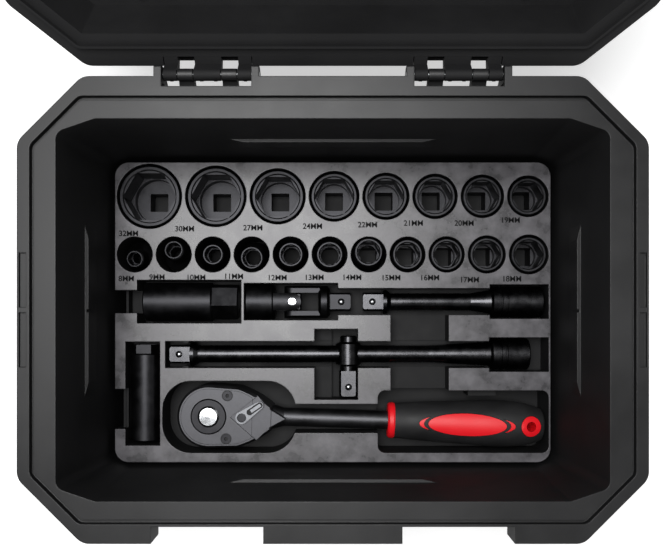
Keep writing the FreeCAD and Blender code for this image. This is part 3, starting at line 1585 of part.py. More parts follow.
def grip_profile(bore):
    """Half section of the grip along the handle, from the collar to the rounded end."""
    start = shank_end_x + collar_length
    return [(bore, start), (grip_neck_radius, start), (grip_waist_radius, grip_waist_x),
            (grip_belly_radius, grip_belly_x), (grip_tail_radius, grip_tail_x),
            (grip_end_radius, grip_end_x - 1.6), (grip_end_radius - 2.6, grip_end_x), (bore, grip_end_x)]


def grip_body(shrink):
    """The grip's full round body: a smooth curve turned about the handle."""
    profile = grip_profile(0.0)
    points = [Vector(radius - shrink, 0, x) for radius, x in profile[1:6]]
    curve = Part.BSplineCurve()
    curve.interpolate(points)
    end_low = Vector(profile[6][0] - shrink, 0, profile[6][1] - shrink)
    axis_end = Vector(0, 0, profile[6][1] - shrink)
    axis_start = Vector(0, 0, profile[0][1])
    edges = [curve.toShape(), Part.LineSegment(points[-1], end_low).toShape(),
             Part.LineSegment(end_low, axis_end).toShape(),
             Part.LineSegment(axis_end, axis_start).toShape(),
             Part.LineSegment(axis_start, points[0]).toShape()]
    solid = Part.Face(Part.Wire(edges)).revolve(Vector(0, 0, 0), Z_AXIS, 360)
    return laid_along_x(solid, 0, 0, 0)


def oval(half_length, half_width):
    """An upright oval post through the upper half of the grip."""
    ellipse = Part.Ellipse(Vector(pad_x, 0, grip_core_radius - 2.0), half_length, half_width).toShape()
    return plate(Part.Wire(ellipse), grip_belly_radius)


def crescents(gap):
    """Two thin crescents beyond the ends of the oval."""
    outer = oval(crescent_half_length - gap, crescent_half_width - gap)
    return outer.cut(oval(crescent_inner_half_length + gap, crescent_inner_half_width + gap))


def grip_core():
    """Red core: collar, rod, oval pad, crescents and hang eye, with a bore for the tang."""
    collar = revolve([(0, shank_end_x), (collar_radius - collar_edge, shank_end_x),
                      (collar_radius, shank_end_x + collar_edge),
                      (collar_radius, shank_end_x + collar_length - overlap),
                      (collar_radius - 0.4, shank_end_x + collar_length),
                      (0, shank_end_x + collar_length)])
    collar = laid_along_x(collar, 0, 0, 0)
    stick = rod(grip_core_radius, Vector(shank_end_x + overlap, 0, 0), X_AXIS, hang_x - shank_end_x)
    envelope = grip_body(-pad_rise)
    pads = fuse([oval(pad_half_length, pad_half_width)] + crescents(pad_gap).Solids)
    eye = rod(hang_radius, Vector(hang_x, 0, -grip_belly_radius), Z_AXIS, 2 * grip_belly_radius)
    hole = rod(hang_hole_radius, Vector(hang_x, 0, -grip_belly_radius), Z_AXIS, 2 * grip_belly_radius)
    raised = fuse([part.common(envelope) for part in [eye] + pads.Solids + [stick]])
    tang_start = shank_end_x - overlap
    shank_bore = rod(shank_radius + grip_bore_play, Vector(tang_start, 0, 0), X_AXIS,
                     1.0 + grip_bore_play)
    tang_bore = rod(tang_radius + grip_bore_play, Vector(tang_start, 0, 0), X_AXIS,
                    tang_end_x - tang_start + grip_bore_play)
    return fuse([collar, raised]).cut(hole).cut(fuse([shank_bore, tang_bore]))


def grip_sleeve():
    """Black sleeve over the core, with windows for the pad, the crescents and the hang eye."""
    solid = grip_body(0.0)
    core = rod(grip_core_radius + grip_bore_play, Vector(shank_end_x, 0, 0), X_AXIS,
               hang_x - shank_end_x + grip_bore_play + overlap)
    eye = rod(hang_radius + pad_gap, Vector(hang_x, 0, -grip_belly_radius - overlap), Z_AXIS,
              2 * grip_belly_radius + 2.0)
    solid = solid.cut(core).cut(eye).cut(oval(pad_half_length + pad_gap, pad_half_width + pad_gap))
    return solid.cut(crescents(0.0))


def shaft_floor():
    """Depth of the channels under the bars' shafts."""
    return joint_drop() + drive_square / 2 + seat_gap


def square_floor():
    """Depth of the seats under the bars' square drives."""
    return bar_axis_drop + drive_square / 2 + seat_gap


def bar_socket_floor():
    return bar_axis_drop + bar_socket_radius + seat_gap


def bar_channel_floor():
    """Depth of the channels, which also let the sliding head pass."""
    return bar_axis_drop + max(bar_taper_radius, t_head_boss_radius) + pocket_play


def grip_reach():
    """Largest radius of the finished grip."""
    return grip_body(0.0).BoundBox.ZMax


def tray_rooms(grow):
    """Every well and channel of the tray. Grown, they are the outsides of the moulded walls."""
    drop = tray_floor if grow else 0.0
    high = tray_top + overlap
    edge = tray_width / 2 - tray_edge_margin

    def room(x_low, x_high, y_low, y_high, depth):
        return box(x_low - grow, x_high + grow, y_low - grow + tray_shift_y, y_high + grow + tray_shift_y,
                   tray_top - depth - drop, high)

    def strip(x_low, x_high, y, width, depth):
        return room(x_low, x_high, y - width / 2, y + width / 2, depth)

    def soft_room(corners, radius, depth):
        placed = [(x, y + tray_shift_y) for x, y in corners]
        low = tray_top - depth - drop
        wire = rounded_wire(placed, radius, low)
        if grow:
            wire = wire.makeOffset2D(grow)
        return plate(wire, high - low)

    rooms = []
    for size, (x, y) in well_places().items():
        low = well_floor(size) - drop
        rooms.append(rod(well_radius(size) + grow, Vector(x, y, low), Z_AXIS, high - low))

    slack = (plug_wide_pocket_length - plug_wide_length) / 2
    plug_left = plug_wide_start_x - slack
    plug_floor = plug_wide_drop() + plug_wide_diameter / 2 + seat_gap
    rooms.append(strip(plug_left, plug_left + plug_wide_pocket_length, row_three_y,
                       plug_wide_pocket_width, plug_floor))
    rooms.append(strip(notch_wall_x + tray_wall, plug_left + overlap, row_three_y, plug_notch_width,
                       plug_notch_drop))
    joint_floor = joint_drop() + joint_diameter / 2 + seat_gap
    rooms.append(strip(joint_start_x - pocket_play, joint_pocket_end, row_three_y, joint_pocket_width,
                       joint_floor))
    short_seat = short_bar_start_x - pocket_play * 2
    rooms.append(strip(joint_pocket_end - overlap, short_seat, row_three_y, bar_channel_width,
                       shaft_floor()))
    short_shoulder = short_bar_start_x + drive_length - bar_seat_gap
    rooms.append(strip(short_seat - overlap, short_shoulder + overlap, row_three_y, bar_channel_width,
                       square_floor()))
    rooms.append(strip(short_shoulder, short_pocket_x, row_three_y, bar_channel_width,
                       bar_channel_floor()))
    rooms.append(strip(short_pocket_x - overlap, edge, row_three_y, bar_socket_pocket,
                       bar_socket_floor()))

    long_left = long_bar_start_x - pocket_play * 4
    long_shoulder = long_bar_start_x + drive_length - bar_seat_gap
    rooms.append(strip(long_left, long_shoulder + overlap, row_four_y, bar_channel_width, square_floor()))
    rooms.append(strip(long_shoulder, long_pocket_x, row_four_y, bar_channel_width,
                       bar_channel_floor()))
    rooms.append(strip(long_pocket_x - overlap, edge, row_four_y, bar_socket_pocket,
                       bar_socket_floor()))
    rooms.append(room(t_pocket_left, t_pocket_right, t_pocket_front, t_pocket_back, t_shelf_drop))
    rooms.append(room(t_shelf_edge, t_pocket_right, t_pocket_front, t_pocket_back, t_pocket_drop))

    half = plug_narrow_pocket_width / 2
    narrow_floor = plug_narrow_drop() + plug_narrow_diameter / 2 + seat_gap
    rooms.append(room(plug_narrow_x - half, plug_narrow_x + half,
                      plug_narrow_y - plug_narrow_pocket_length / 2,
                      plug_narrow_y + plug_narrow_pocket_length / 2, narrow_floor))

    trough_front = ratchet_y + grip_pocket_back
    rooms.append(room(trough_left, trough_right, trough_front, row_three_y, trough_drop))

    head_floor = ratchet_axis_drop + head_half_height + seat_gap
    left = ratchet_x - head_pocket_left
    right = ratchet_x + head_pocket_right
    half = head_pocket_width / 2
    rooms.append(soft_room([(left, ratchet_y - half), (right, ratchet_y - half),
                            (right, ratchet_y + half),
                            (left, ratchet_y + half)], head_pocket_radius, head_floor))
    drive_low = tray_top - ratchet_axis_drop - head_half_height - gear_square_length - seat_gap - drop
    rooms.append(rod(spindle_radius + grow, Vector(ratchet_x, ratchet_y + tray_shift_y, drive_low),
                     Z_AXIS,
                     high - drive_low))
    neck_floor = ratchet_axis_drop + shank_radius + pocket_play
    rooms.append(room(right - neck_channel_overlap, grip_pocket_left + neck_channel_overlap / 2,
                      ratchet_y - neck_channel_front, ratchet_y + neck_channel_back,
                      neck_floor))
    grip_floor = ratchet_axis_drop + grip_reach() + seat_gap
    front = ratchet_y - grip_pocket_front
    back = ratchet_y + grip_pocket_back
    rooms.append(soft_room([(grip_pocket_left, front), (edge, front), (edge, back),
                            (grip_pocket_left, back)],
                           grip_pocket_radius, grip_floor))
    return rooms


def edge_notches():
    """Places where the tray's left edge is cut back: beside each plug socket."""
    left = -tray_width / 2 - overlap
    half = plug_notch_width / 2
    y = row_three_y + tray_shift_y
    low = tray_bottom - overlap
    cuts = [box(left, notch_wall_x, y - half, y + half, low, tray_top + overlap),
            box(left, notch_wall_x + 2 * tray_wall, y - half, y + half, tray_top - notch_wall_drop,
                tray_top + overlap)]
    low_y = plug_narrow_notch_front + tray_shift_y
    high_y = plug_narrow_notch_back + tray_shift_y
    cuts.append(box(left, narrow_notch_wall_x, low_y, high_y, low, tray_top + overlap))
    cuts.append(box(left, plug_narrow_x, low_y, high_y, tray_top - notch_wall_drop, tray_top + overlap))
    return cuts


def tray_blocks():
    """Small features moulded in the channels: a shelf in the grip pocket and two snap nubs."""
    back = ratchet_y + grip_pocket_back + tray_shift_y
    shelf_low = tray_top - ratchet_axis_drop - grip_belly_radius
    shelf = box(shelf_left, shelf_right, back - shelf_depth, back + tray_wall, shelf_low,
                tray_top - shelf_drop)
    blocks = [shelf]
    y = row_four_y + tray_shift_y
    for side in (-1, 1):
        wall = y + side * (bar_channel_width / 2 + tray_wall / 2)
        tip = y + side * (bar_channel_width / 2 - nub_reach)
        corners = [(nub_x - nub_length / 2, wall), (nub_x - nub_length / 4, tip),
                   (nub_x + nub_length / 4, tip),
                   (nub_x + nub_length / 2, wall)]
        blocks.append(polygon_plate(corners, tray_top - square_floor() - tray_floor / 2, tray_top - 0.4))
    return blocks


def tool_tray():
    """A thin moulded tray: deck, outer wall and the walls of every well."""
    half_x = tray_width / 2
    half_y = tray_depth / 2

    def block(inset, z_low, z_high):
        corners = [(half_x - inset, -half_y + inset + tray_shift_y),
                   (half_x - inset, half_y - inset + tray_shift_y),
                   (-half_x + inset, half_y - inset + tray_shift_y),
                   (-half_x + inset, -half_y + inset + tray_shift_y)]
        return plate(rounded_wire(corners, tray_corner - inset, z_low), z_high - z_low)

    hollow = block(tray_wall, tray_bottom - overlap, tray_top - tray_deck)
    for wall in tray_rooms(tray_wall):
        hollow = hollow.cut(wall)
    solid = block(0.0, tray_bottom, tray_top).cut(hollow)
    for notch_wall in notch_walls():
        solid = solid.fuse(notch_wall)
    solid = solid.cut(tray_rooms(0.0))
    for cut in edge_notches():
        solid = solid.cut(cut)
    return fuse([solid] + tray_blocks())


def notch_walls():
    """The tray's outer wall where it steps in beside the plug sockets."""
    y = row_three_y + tray_shift_y
    half = plug_notch_width / 2 + tray_wall
    walls = []
    spans = ((notch_wall_x, y - half, y + half),
             (narrow_notch_wall_x, plug_narrow_notch_front + tray_shift_y - tray_wall,
              plug_narrow_notch_back + tray_shift_y + tray_wall))
    for x, low_y, high_y in spans:
        walls.append(box(x, x + tray_wall, low_y, high_y, tray_bottom, tray_top - tray_deck / 2))
        for edge_y in (low_y, high_y - tray_wall):
            walls.append(box(-tray_width / 2 + tray_wall / 2, x + tray_wall, edge_y, edge_y + tray_wall,
                             tray_bottom,
                             tray_top - tray_deck / 2))
    return walls


def case_nodes():
    """The box itself, with the lid and all that it carries swung open."""
    return {
        "case_base": case_base(),
        "hinge_pins": hinge_pins(),
        "case_lid": lid_opened(case_lid_closed()),
        "left_latch": lid_opened(latch_closed(-latch_offset_x)),
        "right_latch": lid_opened(latch_closed(latch_offset_x)),
        "latch_pins": lid_opened(latch_pins_closed()),
        "carry_handle": lid_opened(handle_hung(carry_handle_closed())),
        "handle_pins": lid_opened(handle_pins_closed()),
        "tool_tray": tool_tray(),
    }


def socket_nodes():
    return {f"socket_{size:02.0f}mm": socket(size) for size in row_two_sizes + row_one_sizes}


def plug_nodes():
    wide = plug_socket(plug_wide_size, plug_wide_length, plug_wide_diameter, plug_wide_hex_length,
                       plug_wide_hex_flats)
    narrow = plug_socket(plug_narrow_size, plug_narrow_length, plug_narrow_diameter,
                         plug_narrow_hex_length,
                         plug_narrow_hex_flats)
    return {
        "plug_socket_wide": plug_wide_placed(wide),
        "plug_grip_wide": plug_wide_placed(plug_grip(plug_wide_size)),
        "plug_socket_narrow": plug_narrow_placed(narrow),
        "plug_grip_narrow": plug_narrow_placed(plug_grip(plug_narrow_size)),
    }


def joint_nodes():
    return {
        "joint_socket_yoke": joint_socket_yoke(),
        "joint_cross": joint_cross(),
        "joint_drive_yoke": joint_drive_yoke(),
        "joint_long_pin": joint_long_pin(),
        "joint_short_pins": joint_short_pins(),
        "joint_ball": detent_ball(joint_ball_spot(), Z_AXIS),
    }


def bar_nodes():
    short_bar = bar(short_bar_length, short_bar_taper, short_bar_socket_length)
    long_bar = bar(long_bar_length, long_bar_taper, long_bar_socket_length)
    return {
        "short_extension": bar_placed(short_bar, short_bar_start_x, row_three_y),
        "short_extension_ball": bar_ball(short_bar_start_x, row_three_y),
        "long_extension": bar_placed(long_bar, long_bar_start_x, row_four_y),
        "long_extension_ball": bar_ball(long_bar_start_x, row_four_y),
        "t_head": t_head(),
        "t_head_ball": detent_ball(t_ball_spot(), Z_AXIS),
    }


def ratchet_nodes():
    ball, spring = detent_parts()
    pieces = {
        "ratchet_body": ratchet_body(),
        "ratchet_cover": ratchet_cover(),
        "cover_screws": cover_screws(),
        "drive_gear": drive_gear(),
        "release_button": release_button(),
        "button_spring": button_spring(),
        "drive_ball": detent_ball(ratchet_ball_spot(), Y_AXIS * -1),
        "pawl": pawl(),
        "detent_ball": ball,
        "pawl_spring": spring,
        "reverse_lever": reverse_lever(),
        "grip_core": grip_core(),
        "grip_sleeve": grip_sleeve(),
    }
    return {name: ratchet_placed(shape) for name, shape in pieces.items()}


def write_parts():
    os.makedirs("parts", exist_ok=True)
    for nodes in (case_nodes(), socket_nodes(), plug_nodes(), joint_nodes(), bar_nodes(),
                  ratchet_nodes()):
        for name, shape in nodes.items():
            whole = shape.Solids[0] if len(shape.Solids) == 1 else Part.makeCompound(shape.Solids)
            whole.exportStep(os.path.join("parts", name + ".step"))


write_parts()
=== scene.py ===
"""A socket wrench set in its moulded case, seen from straight above with the lid swung open."""

import json
import math

import bmesh
import bpy
from mathutils import Matrix, Vector


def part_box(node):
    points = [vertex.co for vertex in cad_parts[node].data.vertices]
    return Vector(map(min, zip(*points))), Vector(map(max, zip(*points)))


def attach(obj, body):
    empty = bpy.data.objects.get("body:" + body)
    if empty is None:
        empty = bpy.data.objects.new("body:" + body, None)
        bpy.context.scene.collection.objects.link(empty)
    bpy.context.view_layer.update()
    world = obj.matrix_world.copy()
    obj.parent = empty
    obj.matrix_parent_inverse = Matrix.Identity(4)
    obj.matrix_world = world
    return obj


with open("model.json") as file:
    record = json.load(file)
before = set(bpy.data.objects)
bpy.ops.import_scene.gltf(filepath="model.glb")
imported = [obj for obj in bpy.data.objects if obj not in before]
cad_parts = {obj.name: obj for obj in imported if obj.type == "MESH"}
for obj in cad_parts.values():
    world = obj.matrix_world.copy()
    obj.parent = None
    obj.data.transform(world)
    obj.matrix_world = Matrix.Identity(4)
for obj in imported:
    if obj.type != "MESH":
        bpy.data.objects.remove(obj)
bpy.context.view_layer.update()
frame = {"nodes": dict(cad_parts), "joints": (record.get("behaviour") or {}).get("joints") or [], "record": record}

MM = 0.001
IMAGE_WIDTH = 665
IMAGE_HEIGHT = 550

# The camera hangs over the open case; its axis meets the picture a little below the middle.
FOCAL_PIXELS = 786
AXIS_PIXEL_Y = 318
CAMERA_PLACE = Vector((-0.2, -4.5, 600.0)) * MM
SENSOR_WIDTH = 36.0

# The part of a noise's range that a mottled tone is spread over.
CLOUD_LOW = 0.34
CLOUD_HIGH = 0.66


def linear(code):
    """Scene-linear RGBA of an sRGB hex colour."""
    channels = [int(code[start:start + 2], 16) / 255 for start in (1, 3, 5)]
    return [c / 12.92 if c <= 0.04045 else ((c + 0.055) / 1.055) ** 2.4 for c in channels] + [1.0]


def add(tree, kind, settings):
    """Add a node: each setting is a link from a socket, the value of an input, or a property."""
    node = tree.nodes.new(kind)
    for key, value in settings.items():
        if not isinstance(key, int) and key not in node.inputs:
            setattr(node, key, value)
        elif isinstance(value, bpy.types.NodeSocket):
            tree.links.new(value, node.inputs[key])
        else:
            node.inputs[key].default_value = value
    return node


def surface(name, low, high, rough, mottle, grain, relief, metallic=0.0, edge=0.0, **more):
    """A material whose tone and gloss drift over mottle mm, with a grain of so many mm and relief.

    An edge in mm rounds the look of sharp corners, so that they catch a thin line of light.
    """
    material = bpy.data.materials.new(name)
    material.use_nodes = True
    tree = material.node_tree
    tree.nodes.clear()
    place = add(tree, "ShaderNodeTexCoord", {})
    cloud = add(tree, "ShaderNodeTexNoise", {
        "Vector": place.outputs["Object"], "Scale": 1 / (mottle * MM), "Detail": 7.0,
        "Roughness": 0.62})
    tone = add(tree, "ShaderNodeMapRange", {
        "Value": cloud.outputs[0], "From Min": CLOUD_LOW, "From Max": CLOUD_HIGH})
    colour = add(tree, "ShaderNodeMix", {
        "data_type": "RGBA", 0: tone.outputs[0], 6: linear(low), 7: linear(high)})
    gloss = add(tree, "ShaderNodeMapRange", {
        "Value": cloud.outputs[0], "From Min": CLOUD_LOW, "From Max": CLOUD_HIGH,
        "To Min": rough[0], "To Max": rough[1]})
    fine = add(tree, "ShaderNodeTexNoise", {
        "Vector": place.outputs["Object"], "Scale": 1 / (grain * MM), "Detail": 3.0})
    bump = add(tree, "ShaderNodeBump", {
        "Height": fine.outputs[0], "Distance": relief * MM, "Strength": 1.0})
    if edge:
        rounded = add(tree, "ShaderNodeBevel", {"samples": 4, "Radius": edge * MM})
        tree.links.new(rounded.outputs[0], bump.inputs["Normal"])
    shader = add(tree, "ShaderNodeBsdfPrincipled", {
        "Base Color": colour.outputs[2], "Roughness": gloss.outputs[0], "Metallic": metallic,
        "Normal": bump.outputs[0], **more})
    add(tree, "ShaderNodeOutputMaterial", {"Surface": shader.outputs[0]})
    return material


# Moulded black polypropylene: a faint spark-eroded grain breaks the light into a soft grey sheen.
case_plastic = surface(
    "spark_textured_polypropylene", "#161617", "#202021", (0.36, 0.46), 60, 0.9, 0.02,
    edge=0.8, IOR=1.49)
# The lid and the case's upright walls carry a deeper grain that lets them leave the mould: duller, and a touch
# darker as painted shade.
shaded_wall_plastic = surface(
    "deep_textured_painted_shade_polypropylene", "#131314", "#1b1b1c", (0.62, 0.74), 60, 1.1, 0.04,
    **{"IOR": 1.49, "Specular IOR Level": 0.3})
# The tray is the same plastic off a smoother tool: black and dull down in its pockets.
tray_plastic = surface(
    "moulded_black_polypropylene", "#161617", "#202021", (0.55, 0.7), 22, 0.7, 0.015,
    **{"IOR": 1.49, "Specular IOR Level": 0.25})
# Its deck is painted a cloudy grey as the sheen of the overhead light, with mottled painted highlights, and is
# glossier than the pockets.
deck_sheen_plastic = surface(
    "painted_sheen_black_polypropylene", "#3e3d3f", "#68666a", (0.24, 0.36), 14, 0.7, 0.015,
    edge=0.6, IOR=1.49)
# Phosphated chrome-vanadium steel: nearly black and satin, with a lightly crystalline skin.
black_steel = surface(
    "phosphated_forged_steel", "#29292b", "#39393b", (0.36, 0.48), 9, 0.25, 0.006, metallic=1.0)
# The bars are turned and oiled after blacking, so a thin bright line runs along each.
turned_steel = surface(
    "oiled_turned_black_steel", "#343436", "#48484a", (0.22, 0.32), 7, 0.25, 0.006, metallic=1.0)
# Painted shade for the recesses of the keyed screws and of the lever: a near-black steel from which almost no
# light comes back.
recess_shade_steel = surface(
    "painted_shade_black_steel", "#121213", "#1c1c1d", (0.5, 0.62), 5, 0.3, 0.004,
    **{"IOR": 1.5, "Specular IOR Level": 0.3})
# The ratchet's forged head is bead-blasted before blacking: an even grey bloom.
head_steel = surface(
    "bead_blasted_black_steel", "#454547", "#555558", (0.4, 0.5), 12, 0.2, 0.005, metallic=1.0)
# Polished chrome: the balls and the button throw the light panel back nearly white.
bright_steel = surface(
    "polished_chromed_steel", "#c4c6c9", "#d6d8da", (0.18, 0.26), 5, 0.3, 0.001, metallic=1.0)
# Satin nickel on the cast lever: the same light comes back softer and greyer than from chrome.
satin_nickel = surface(
    "satin_nickel_plated_steel", "#5c5d60", "#707174", (0.3, 0.4), 4, 0.25, 0.002, metallic=1.0)
# Drawn zinc-plated pin wire: pale and slightly dull.
pin_steel = surface(
    "drawn_zinc_plated_steel", "#a4a6a8", "#bcbec0", (0.25, 0.38), 4, 0.2, 0.003, metallic=1.0)
# Moulded ABS in red: a clean, even colour under a soft sheen.
red_plastic = surface(
    "moulded_red_abs", "#f6121f", "#fc1926", (0.4, 0.5), 25, 1.2, 0.004, IOR=1.54)
# Overmoulded soft grip rubber: matt black with a powdery bloom.
grip_rubber = surface(
    "overmoulded_grip_rubber", "#1a1a1b", "#232324", (0.55, 0.68), 18, 0.5, 0.02, IOR=1.5)
# Nitrile rubber sleeves inside the plug sockets: dead black.
insert_rubber = surface(
    "moulded_nitrile_rubber", "#141415", "#1b1b1c", (0.6, 0.75), 8, 0.5, 0.015, IOR=1.5)
# Pad-printed marking ink: black and dead matt, so that it stays dark where the deck shines.
marking_ink = surface(
    "pad_printed_ink", "#0c0c0d", "#161617", (0.75, 0.9), 6, 0.3, 0.003,
    **{"IOR": 1.5, "Specular IOR Level": 0.15})

SLOT_MATERIALS = {
    "case_plastic": case_plastic, "tray_plastic": tray_plastic, "pin_steel": pin_steel,
    "black_steel": black_steel, "bright_steel": bright_steel, "insert_rubber": insert_rubber,
    "red_plastic": red_plastic, "grip_rubber": grip_rubber}
# These nodes are finished apart from the rest of their slot.
NODE_MATERIALS = {
    "case_lid": shaded_wall_plastic, "ratchet_body": head_steel, "ratchet_cover": head_steel,
    "short_extension": turned_steel, "long_extension": turned_steel, "t_head": turned_steel,
    "reverse_lever": satin_nickel}

for part in frame["record"]["subparts"]:
    chosen = NODE_MATERIALS.get(part["node"]) or SLOT_MATERIALS[part["material_slot"]]
    node = frame["nodes"][part["node"]]
    node.data.materials.clear()
    node.data.materials.append(chosen)


def finish_faces(node, finish, chosen):
    """Give a second finish to the faces of a node that are chosen."""
    mesh = frame["nodes"][node].data
    mesh.materials.append(finish)
    for face in mesh.polygons:
        if chosen(face):
            face.material_index = 1


deck_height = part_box("tool_tray")[1].z
screw_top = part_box("cover_screws")[1].z
FACE_DEPTH = 0.2
UPRIGHT = 0.5
# The deck's top faces take the painted sheen: a lit, greyer copy of the tray plastic.
finish_faces("tool_tray", deck_sheen_plastic, lambda face: face.center.z > deck_height - FACE_DEPTH * MM)
# The screws' faces below their tops, the hex recesses, take painted shade.
finish_faces("cover_screws", recess_shade_steel, lambda face: face.center.z < screw_top - FACE_DEPTH * MM)
# The base's upright faces take the duller wall plastic, whose darker tone is painted shade.
finish_faces("case_base", shaded_wall_plastic, lambda face: abs(face.normal.z) < UPRIGHT)


def put(name, data):
    """Put new data in the scene as an object."""
    made = bpy.data.objects.new(name, data)
    bpy.context.scene.collection.objects.link(made)
    return made


# Each size is marked on the tray's deck: size in mm, and the middle of its marking in the case.
MARKS = {
    32: (-140.7, 53.6), 30: (-102.1, 56.8), 27: (-55.0, 57.5), 24: (-13.9, 58.6),
    22: (24.0, 59.6), 21: (55.6, 60.7), 20: (90.6, 60.7), 19: (122.4, 62.8),
    8: (-142.3, 22.5), 9: (-121.1, 23.5), 10: (-94.3, 23.3), 11: (-68.3, 24.0),
    12: (-38.3, 23.1), 13: (-12.8, 23.3), 14: (13.2, 23.3), 15: (40.1, 23.1),
    16: (66.8, 23.1), 17: (94.2, 21.7), 18: (123.4, 22.3)}
MARK_SIZE = 5.3
MARK_HEIGHT = 0.06
MARK_BOLDNESS = 0.1


def size_mark(size, middle, deck):
    """The size as flat raised letters on the deck."""
    lettering = bpy.data.curves.new("size_mark", "FONT")
    lettering.body = f"{size}MM"
    lettering.size = MARK_SIZE * MM
    lettering.extrude = MARK_HEIGHT * MM
    lettering.offset = MARK_BOLDNESS * MM
    lettering.align_x = "CENTER"
    lettering.align_y = "CENTER"
    written = put("size_mark", lettering)
    bpy.context.view_layer.update()
    seen = written.evaluated_get(bpy.context.evaluated_depsgraph_get())
    mesh = bpy.data.meshes.new_from_object(seen)
    bpy.data.objects.remove(written)
    mesh.transform(Matrix.Translation((middle[0] * MM, middle[1] * MM, deck)))
    mesh.materials.clear()
    mesh.materials.append(marking_ink)
    mark = put(f"size_mark_{size:02d}", mesh)
    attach(mark, "tray")


for size, middle in MARKS.items():
    size_mark(size, middle, deck_height)

# The ratchet lies on the line from its drive to the pivot of its lever, which rests at an angle.
joints = {joint["name"]: Vector(joint.get("pos_m", (0, 0, 0))) for joint in frame["joints"]}
drive_centre = joints["drive_spin"]
lever_pivot = joints["lever_swing"]
ratchet_line = lever_pivot - drive_centre
ratchet_turn = math.atan2(ratchet_line.y, ratchet_line.x)
LEVER_ANGLE = math.radians(36.6)
ratchet_place = Matrix.Translation(drive_centre) @ Matrix.Rotation(ratchet_turn, 4, "Z")
lever_place = Matrix.Translation(lever_pivot) @ Matrix.Rotation(ratchet_turn + LEVER_ANGLE, 4, "Z")

ROUND_SEGMENTS = 40
NEAR = 0.01


def fitting(name, shape, place, material, body):
    """Make a shape, drawn in mm, a piece of a body at its place."""
    shape.transform(place @ Matrix.Scale(MM, 4))
    bmesh.ops.recalc_face_normals(shape, faces=shape.faces)
    mesh = bpy.data.meshes.new(name)
    shape.to_mesh(mesh)
    shape.free()
    mesh.materials.append(material)
    made = put(name, mesh)
    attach(made, body)


def raised(shape, faces, height):
    """Draw flat faces of a shape up into a plate of this height."""
    grown = bmesh.ops.extrude_face_region(shape, geom=faces)
    lifted = [item for item in grown["geom"] if isinstance(item, bmesh.types.BMVert)]
    bmesh.ops.translate(shape, verts=lifted, vec=(0, 0, height))


def disc(radius, low, high, x=0.0):
    """A round plate from one height to another."""
    shape = bmesh.new()
    bmesh.ops.create_cone(
        shape, cap_ends=True, segments=ROUND_SEGMENTS, radius1=radius, radius2=radius,
        depth=high - low)
    bmesh.ops.translate(shape, verts=shape.verts, vec=(x, 0, (low + high) / 2))
    return shape


def eased(shape, amount, segments, chosen):
    """Round the chosen edges of a shape."""
    bmesh.ops.bevel(
        shape, geom=[edge for edge in shape.edges if chosen(edge)], offset=amount, affect="EDGES",
        segments=segments, profile=0.5, material=-1)


def above(edge, height):
    """Whether an edge lies wholly above a height."""
    return min(vert.co.z for vert in edge.verts) > height


# The head runs out into a point over the shank.
HEAD_TOP = 13.0
NECK_START = 43.0
NECK_HALF = 6.0
NECK_POINT = 53.0
NECK_TIP_HALF = 0.3
NECK_LOW = 4.0
NECK_EDGE = 0.4
NECK_EDGE_STEPS = 2
neck = bmesh.new()
neck_outline = [
    (NECK_START, -NECK_HALF), (NECK_POINT, -NECK_TIP_HALF), (NECK_POINT, NECK_TIP_HALF),
    (NECK_START, NECK_HALF)]
neck_floor = neck.faces.new([neck.verts.new((x, y, NECK_LOW)) for x, y in neck_outline])
raised(neck, [neck_floor], HEAD_TOP - NECK_LOW)
eased(neck, NECK_EDGE, NECK_EDGE_STEPS, lambda edge: above(edge, HEAD_TOP - NEAR))
fitting("neck_point", neck, ratchet_place, head_steel, "ratchet")

# The lever's top carries a dark rivet, and a dark stadium round its finger ridge that is painted shade of its
# slot.
RIDGE_HEIGHT = 1.4
lever_face = (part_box("reverse_lever")[1].z - lever_pivot.z) / MM - RIDGE_HEIGHT
RIVET_RADIUS = 3.1
RIVET_HEIGHT = 0.7
RIVET_EDGE = 0.5
RIVET_EDGE_STEPS = 4
INLAY_SUNK = 0.3
INLAY_PROUD = 0.12
rivet = disc(RIVET_RADIUS, lever_face - INLAY_SUNK, lever_face + RIVET_HEIGHT)
eased(rivet, RIVET_EDGE, RIVET_EDGE_STEPS, lambda edge: above(edge, lever_face))
fitting("lever_rivet", rivet, lever_place, black_steel, "reverse_lever")

# The slot is not cut: a dark stadium standing slightly proud paints its shade.
SLOT_START = 6.8
SLOT_END = 15.2
SLOT_HALF = 2.1
slot = disc(SLOT_HALF, lever_face - INLAY_SUNK, lever_face + INLAY_PROUD, SLOT_START)
far_end = [vert for vert in slot.verts if vert.co.x > SLOT_START + NEAR]
bmesh.ops.translate(slot, verts=far_end, vec=(SLOT_END - SLOT_START, 0, 0))
fitting("lever_slot_shade", slot, lever_place, recess_shade_steel, "reverse_lever")

# A dark ring of painted shadow lies round the head of each cover screw, where its counterbore shades it.
SCREW_X = 12.6
SCREW_Y = 14.9
SCREW_SHADOW_RADII = (3.2, 3.8)
cover_face = (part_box("ratchet_cover")[1].z - drive_centre.z) / MM
for side, name in ((1, "back"), (-1, "front")):
    shadow_ring = bmesh.new()
    for radius in SCREW_SHADOW_RADII:
        bmesh.ops.create_circle(shadow_ring, segments=ROUND_SEGMENTS, radius=radius)
    bmesh.ops.bridge_loops(shadow_ring, edges=shadow_ring.edges)
    raised(shadow_ring, shadow_ring.faces[:], INLAY_SUNK + INLAY_PROUD)
    ring_place = (SCREW_X, side * SCREW_Y, cover_face - INLAY_SUNK)
    bmesh.ops.translate(shadow_ring, verts=shadow_ring.verts, vec=ring_place)
    fitting(f"screw_shadow_ring_{name}", shadow_ring, ratchet_place, recess_shade_steel, "ratchet")


